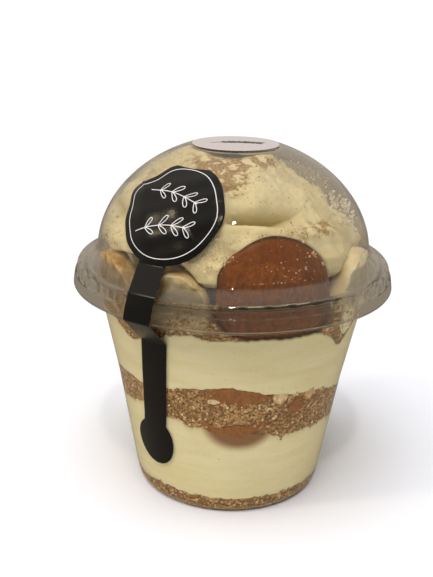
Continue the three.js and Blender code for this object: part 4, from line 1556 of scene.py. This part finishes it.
@dataclass(frozen=True)
class Studio:
    """A wide pale floor, the room that the plastic mirrors, a soft key and two small lamps."""

    floor_radius: float = 40000.0
    table: str = "#8d8374"  # the room from below
    walls: str = "#b8afa3"
    ceiling: str = "#dcd4c8"
    near_side: str = "#82796d"  # the room behind the camera
    room_light: float = 0.52  # how much of the room's light falls on matt things
    backdrop: str = "#fefefe"  # the colour the lit floor comes out in
    lamps: tuple[SunLamp, ...] = (
        SunLamp("soft_key", (-0.12, -0.36, 1.0), 55, 2.85, "#f0f3ff", mirrored=False),
        SunLamp("ceiling_spot", (0.0, -0.53, 0.85), 3.0, 0.4, "#fff3e0"),
        SunLamp("side_window", (-0.72, -0.3, 0.6), 7, 0.5, "#ffe9c8"),
    )

    def floor(self, count: int = 96) -> None:
        """A level disc, unseen in reflections."""
        disc = lathe(np.array([[0.001, 0.0], [0.02, 0.0], [1.0, 0.0]]) * self.floor_radius, count)
        shape = Shape(disc.reshape(-1, 3), [grid_faces(3, count)[:, ::-1], np.arange(count)[None, :]])
        floor = shape.to_object("studio_floor", StudioPaint().build(), smooth=False)
        floor.visible_glossy = floor.visible_transmission = False

    def surround(self) -> None:
        """The backdrop for the camera, and for all else the room: by height, and darker behind the camera."""
        world = bpy.data.worlds.new("pale_surround")
        world.use_nodes = True
        tree = world.node_tree
        tree.nodes.clear()
        toward = add(tree, "TexCoord", {}, "Generated")
        up = add(tree, "SeparateXYZ", {0: toward}, "Z")
        height = add(tree, "MapRange", {"Value": up, "From Min": -1.0})
        stops = ((0.4, self.table), (0.55, self.walls), (0.8, self.walls), (0.92, self.ceiling))
        room = add(tree, "ValToRGB", {0: height}, stops=stops)
        behind = {"Value": add(tree, "SeparateXYZ", {0: toward}, "Y"), "From Min": -0.7, "From Max": 0.2}
        sides = {0: add(tree, "MapRange", behind), 6: self.near_side, 7: room}
        mirrored = add(tree, "Mix", sides, 2, data_type="RGBA")
        seen = {0: add(tree, "LightPath", {}, "Is Camera Ray"), 6: mirrored, 7: self.backdrop}
        colour = add(tree, "Mix", seen, 2, data_type="RGBA")
        bounce = add(tree, "LightPath", {}, "Is Diffuse Ray")
        matt = add(tree, "MapRange", {"Value": bounce, "To Min": 1.0, "To Max": self.room_light})
        light = add(tree, "Background", {"Color": colour, "Strength": matt})
        add(tree, "OutputWorld", {"Surface": light})
        bpy.context.scene.world = world

    def build(self) -> None:
        """Makes the floor, the surround and the lamps, and sets how deep light paths go."""
        self.floor()
        self.surround()
        for lamp in self.lamps:
            lamp.build()
        scene = bpy.context.scene
        scene.view_settings.view_transform = "Standard"
        scene.cycles.light_sampling_threshold = 0.0
        scene.cycles.max_bounces = 24
        scene.cycles.transmission_bounces = 20
        scene.cycles.glossy_bounces = 8
        scene.cycles.diffuse_bounces = 4
        scene.cycles.transparent_max_bounces = 24


# ---- the cup, put together ----


def fill_layers(crumb: Material) -> None:
    """Makes the two creams and the three beds of crumb with their grains."""
    cream = WhippedCream("pudding_cream", pale="#f3e8b8", deep="#eadea6").build()
    lower = CreamLower("cream_lower_fill", "cream_lower", CRUMB_BASE_TOP, CREAM_LOWER_TOP, rows=90)
    lower.build(Slot.CREAM, cream)
    Layer("cream_upper_fill", "cream_upper", CRUMB_MIDDLE_TOP, CREAM_UPPER_TOP).build(Slot.CREAM, cream)
    strip = {
        "window": (-14, 26, 33.0, 40.5),
        "clear": ((24, 41.4, 1.9), (41.2, 40.6, 2.0), (34.4, 37.8, 2.5), (-6.7, 41.0, 1.3)),
    }
    beds = (
        ("base", FLOOR, CRUMB_BASE_TOP, {"count": 2600, "seed": 101}),
        ("middle", CREAM_LOWER_TOP, CRUMB_MIDDLE_TOP, {"count": 6600, "seed": 103, **strip}),
        ("top", CREAM_UPPER_TOP, CRUMB_TOP_TOP, {"count": 3000, "seed": 105}),
    )
    for name, below, above, more in beds:
        band = CrumbBand(f"crumb_{name}_bed", f"crumb_{name}", below, above, **more)
        band.build(Slot.CRUMB, crumb)
        band.build_grains(crumb)


def strew_dome(crumb: Material) -> None:
    """Makes what clings to the dome's inside: flakes, crumbs, specks, near-white specks that are painted
    highlights, and beads of water.
    """
    flake = BiscuitCrumb("cream_flake", ((0.0, "#b7a684"), (1.0, "#efe6cd"))).build()
    flakes = (Patch(60, 95.7, 4, 1.5, 40), Patch(67, 92.5, 3.5, 1.5, 36), Patch(60, 90, 5, 1.2, 22))
    strays = (
        Patch(57, 102.5, 7, 2.6, 80),
        Patch(-66, 103, 12, 2.2, 110),
        Patch(-60, 97, 8, 3, 40),
        Patch(-42, 105.6, 7, 1.2, 60),
        Patch(150, 99, 30, 5, 160),
        Patch(235, 96, 20, 5, 120),
    )
    specks = (Patch(24, 99, 16, 4, 70), Patch(-2, 103, 9, 2.2, 90), Patch(24, 89.8, 16, 1.0, 50))
    beads = (Patch(-11, 86, 5, 3, 170), Patch(-63, 83, 6, 3.5, 120), Patch(-5, 83.5, 3, 1.4, 60))
    # Painted highlights: near-white specks beside the seal and over the front wafer stand for glints on the
    # condensation.
    speck_glint_patches = (Patch(-12, 86.5, 5, 2.6, 75), Patch(-6, 83, 4, 1.4, 35), Patch(20, 80, 8, 4.5, 60))
    on_wafer = (Patch(30.4, 87.4, 0.7, 0.4, 5), Patch(33.5, 84, 1.2, 1.0, 8), Patch(37.8, 81.6, 0.6, 0.4, 4))
    # The near-white finish of the painted highlight specks.
    speck_glint_finish = BiscuitCrumb("white_speck_painted_glint", ((0.0, "#f6ecca"), (1.0, "#ffffff")), roughness=0.25).build()
    DomeCrumbs("dome_flakes_pale", 0.25, 0.85, (0.5, 1.0), 201, flakes).build(flake)
    DomeCrumbs("dome_crumbs_stray", 0.12, 0.36, (0.0, 0.9), 203, strays).build(flake)
    DomeCrumbs("cream_specks_brown", 0.08, 0.3, (0.1, 0.7), 205, specks, gap=0.12).build(crumb)
    Condensation(207, beads).build(Water().build())
    DomeCrumbs("white_specks_painted_glints", 0.07, 0.27, (0.4, 1.0), 209, speck_glint_patches).build(speck_glint_finish)
    DomeCrumbs("wafer_edge_crumbs", 0.2, 0.6, (0.5, 1.0), 211, on_wafer).build(crumb)


def stand_wafers() -> tuple[Wafer, ...]:
    """Makes the wafers that stand in the swirl, and gives them back for it."""
    soaked = BakedWafer("soaked_wafer", crust="#9e5400", deep="#6a3200", soaked="#5c2a0a").build()
    bulges = ((150, 0.11, 13), (112, 0.06, 22), (8, -0.03, 16))
    standing = (
        Wafer("wafer_front_baked", "wafer_front", 20, 71.5, 32.6, bulges=bulges),
        Wafer("wafer_back_baked", "wafer_back", 165, 71, 32.6, size=0.97),
    )
    for wafer in standing:
        wafer.build(soaked)
    return standing


def bury_wafers(crumb: Material) -> None:
    """Makes the wafers and the broken pieces in the middle bed."""
    buried = BakedWafer("buried_wafer", "#a86c2e", "#7f4e1f", "#8c5826", roughness=0.45).build()
    shape = {"tip": 11, "swell": 4.9, "blunt": 0.52, "drowned": 28.6, "dry_reach": 1.6}
    for side, *where, strewn in (
        ("front", 3, 36, 25.7, 0.86, (33.4, 40.4)),
        ("back", 186, 35, 25.5, 0.88, (28, 34)),
    ):
        name = f"wafer_middle_{side}"
        Wafer(name + "_baked", name, *where, strewn=strewn, **shape).build(buried)
    Chunk("wafer_piece_broken", 34.4, 37.8, (2.8, 1.2, 2.9), 0.3).build(Slot.WAFER, buried, "wafer_piece")
    for shade, bearing, height, half, tone in (
        ("pale", 24, 41.4, (2.5, 0.9, 1.8), 0.85),
        ("tan", 41.2, 40.6, (2.5, 1.3, 1.9), 0.66),
    ):
        node = f"crumb_chunk_{shade}"
        Chunk(node + "_lump", bearing, height, half, tone).build(Slot.CRUMB, crumb, node)
    Chunk("crumb_flake_on_wafer", -6.7, 41.0, (2.1, 0.7, 1.2), 0.9).build(Slot.CRUMB, crumb)


def lay_bananas() -> None:
    """Makes the five slices in three finishes."""
    ripe = RipeBanana("ripe_banana", flesh="#dcc184", bruise="#b78f49", dark="#7c5527").build()
    pale = RipeBanana("pale_banana", flesh="#d8c698", bruise="#ccb684", dark="#b0915c").build()
    coated = RipeBanana("cream_coated_banana", flesh="#fff2ca", bruise="#f8e6b6", dark="#e8d096").build()
    for side, flesh, *where in (
        ("left", ripe, -61.5, 66.5, 13, 0.4),
        ("by_seal", pale, -23.2, 68.6, 10.4, 2),
        ("right", coated, 68.5, 67.5, 13.2, 1),
        ("back_right", pale, 114, 67, 13, 3),
        ("back_left", ripe, 215, 67.5, 13.4, 5),
    ):
        BananaSlice(f"banana_{side}_slice", f"banana_{side}", *where).build(flesh)


def main() -> None:
    """Builds the cup from the camera inwards."""
    logging.basicConfig(level=logging.INFO, format="%(name)s: %(message)s")
    PhotoCamera().build()
    Studio().build()
    pet = ThermoformedPet().build()
    ClearCup().build(pet)
    DomedLid().build(pet)

    toasts = ((0.0, "#6e4d2b"), (0.3, "#ae8552"), (0.6, "#c9a269"), (0.85, "#dcbd8a"), (1.0, "#ead5a9"))
    crumb = BiscuitCrumb("biscuit_crumb", toasts).build()
    fill_layers(crumb)
    strew_dome(crumb)
    # The piped cream's stained colour, #a2904d, is painted shade in the swirl's creases.
    piped = WhippedCream("piped_cream", "#f3e6b6", "#e9daa4", stained_and_crease_shaded="#a2904d", dusted="#9a743f").build()
    CreamSwirl(stand_wafers()).build(piped)
    bury_wafers(crumb)
    lay_bananas()

    film = PrintedFilm("black_printed_film", "#080808", 0.24, 0.9, crinkle_depth_mm=0.05).build()
    Seal().build(film, PrintedFilm("white_ink", "#f0eeea", 0.5).build())
    paper = PrintedFilm("label_paper_stock", "#c8bfba", 0.55, crinkle_depth_mm=0.02).build()
    TopLabel().build(paper, PrintedFilm("grey_ink", "#55504e", 0.6).build())


if __name__ == "__main__":
    main()
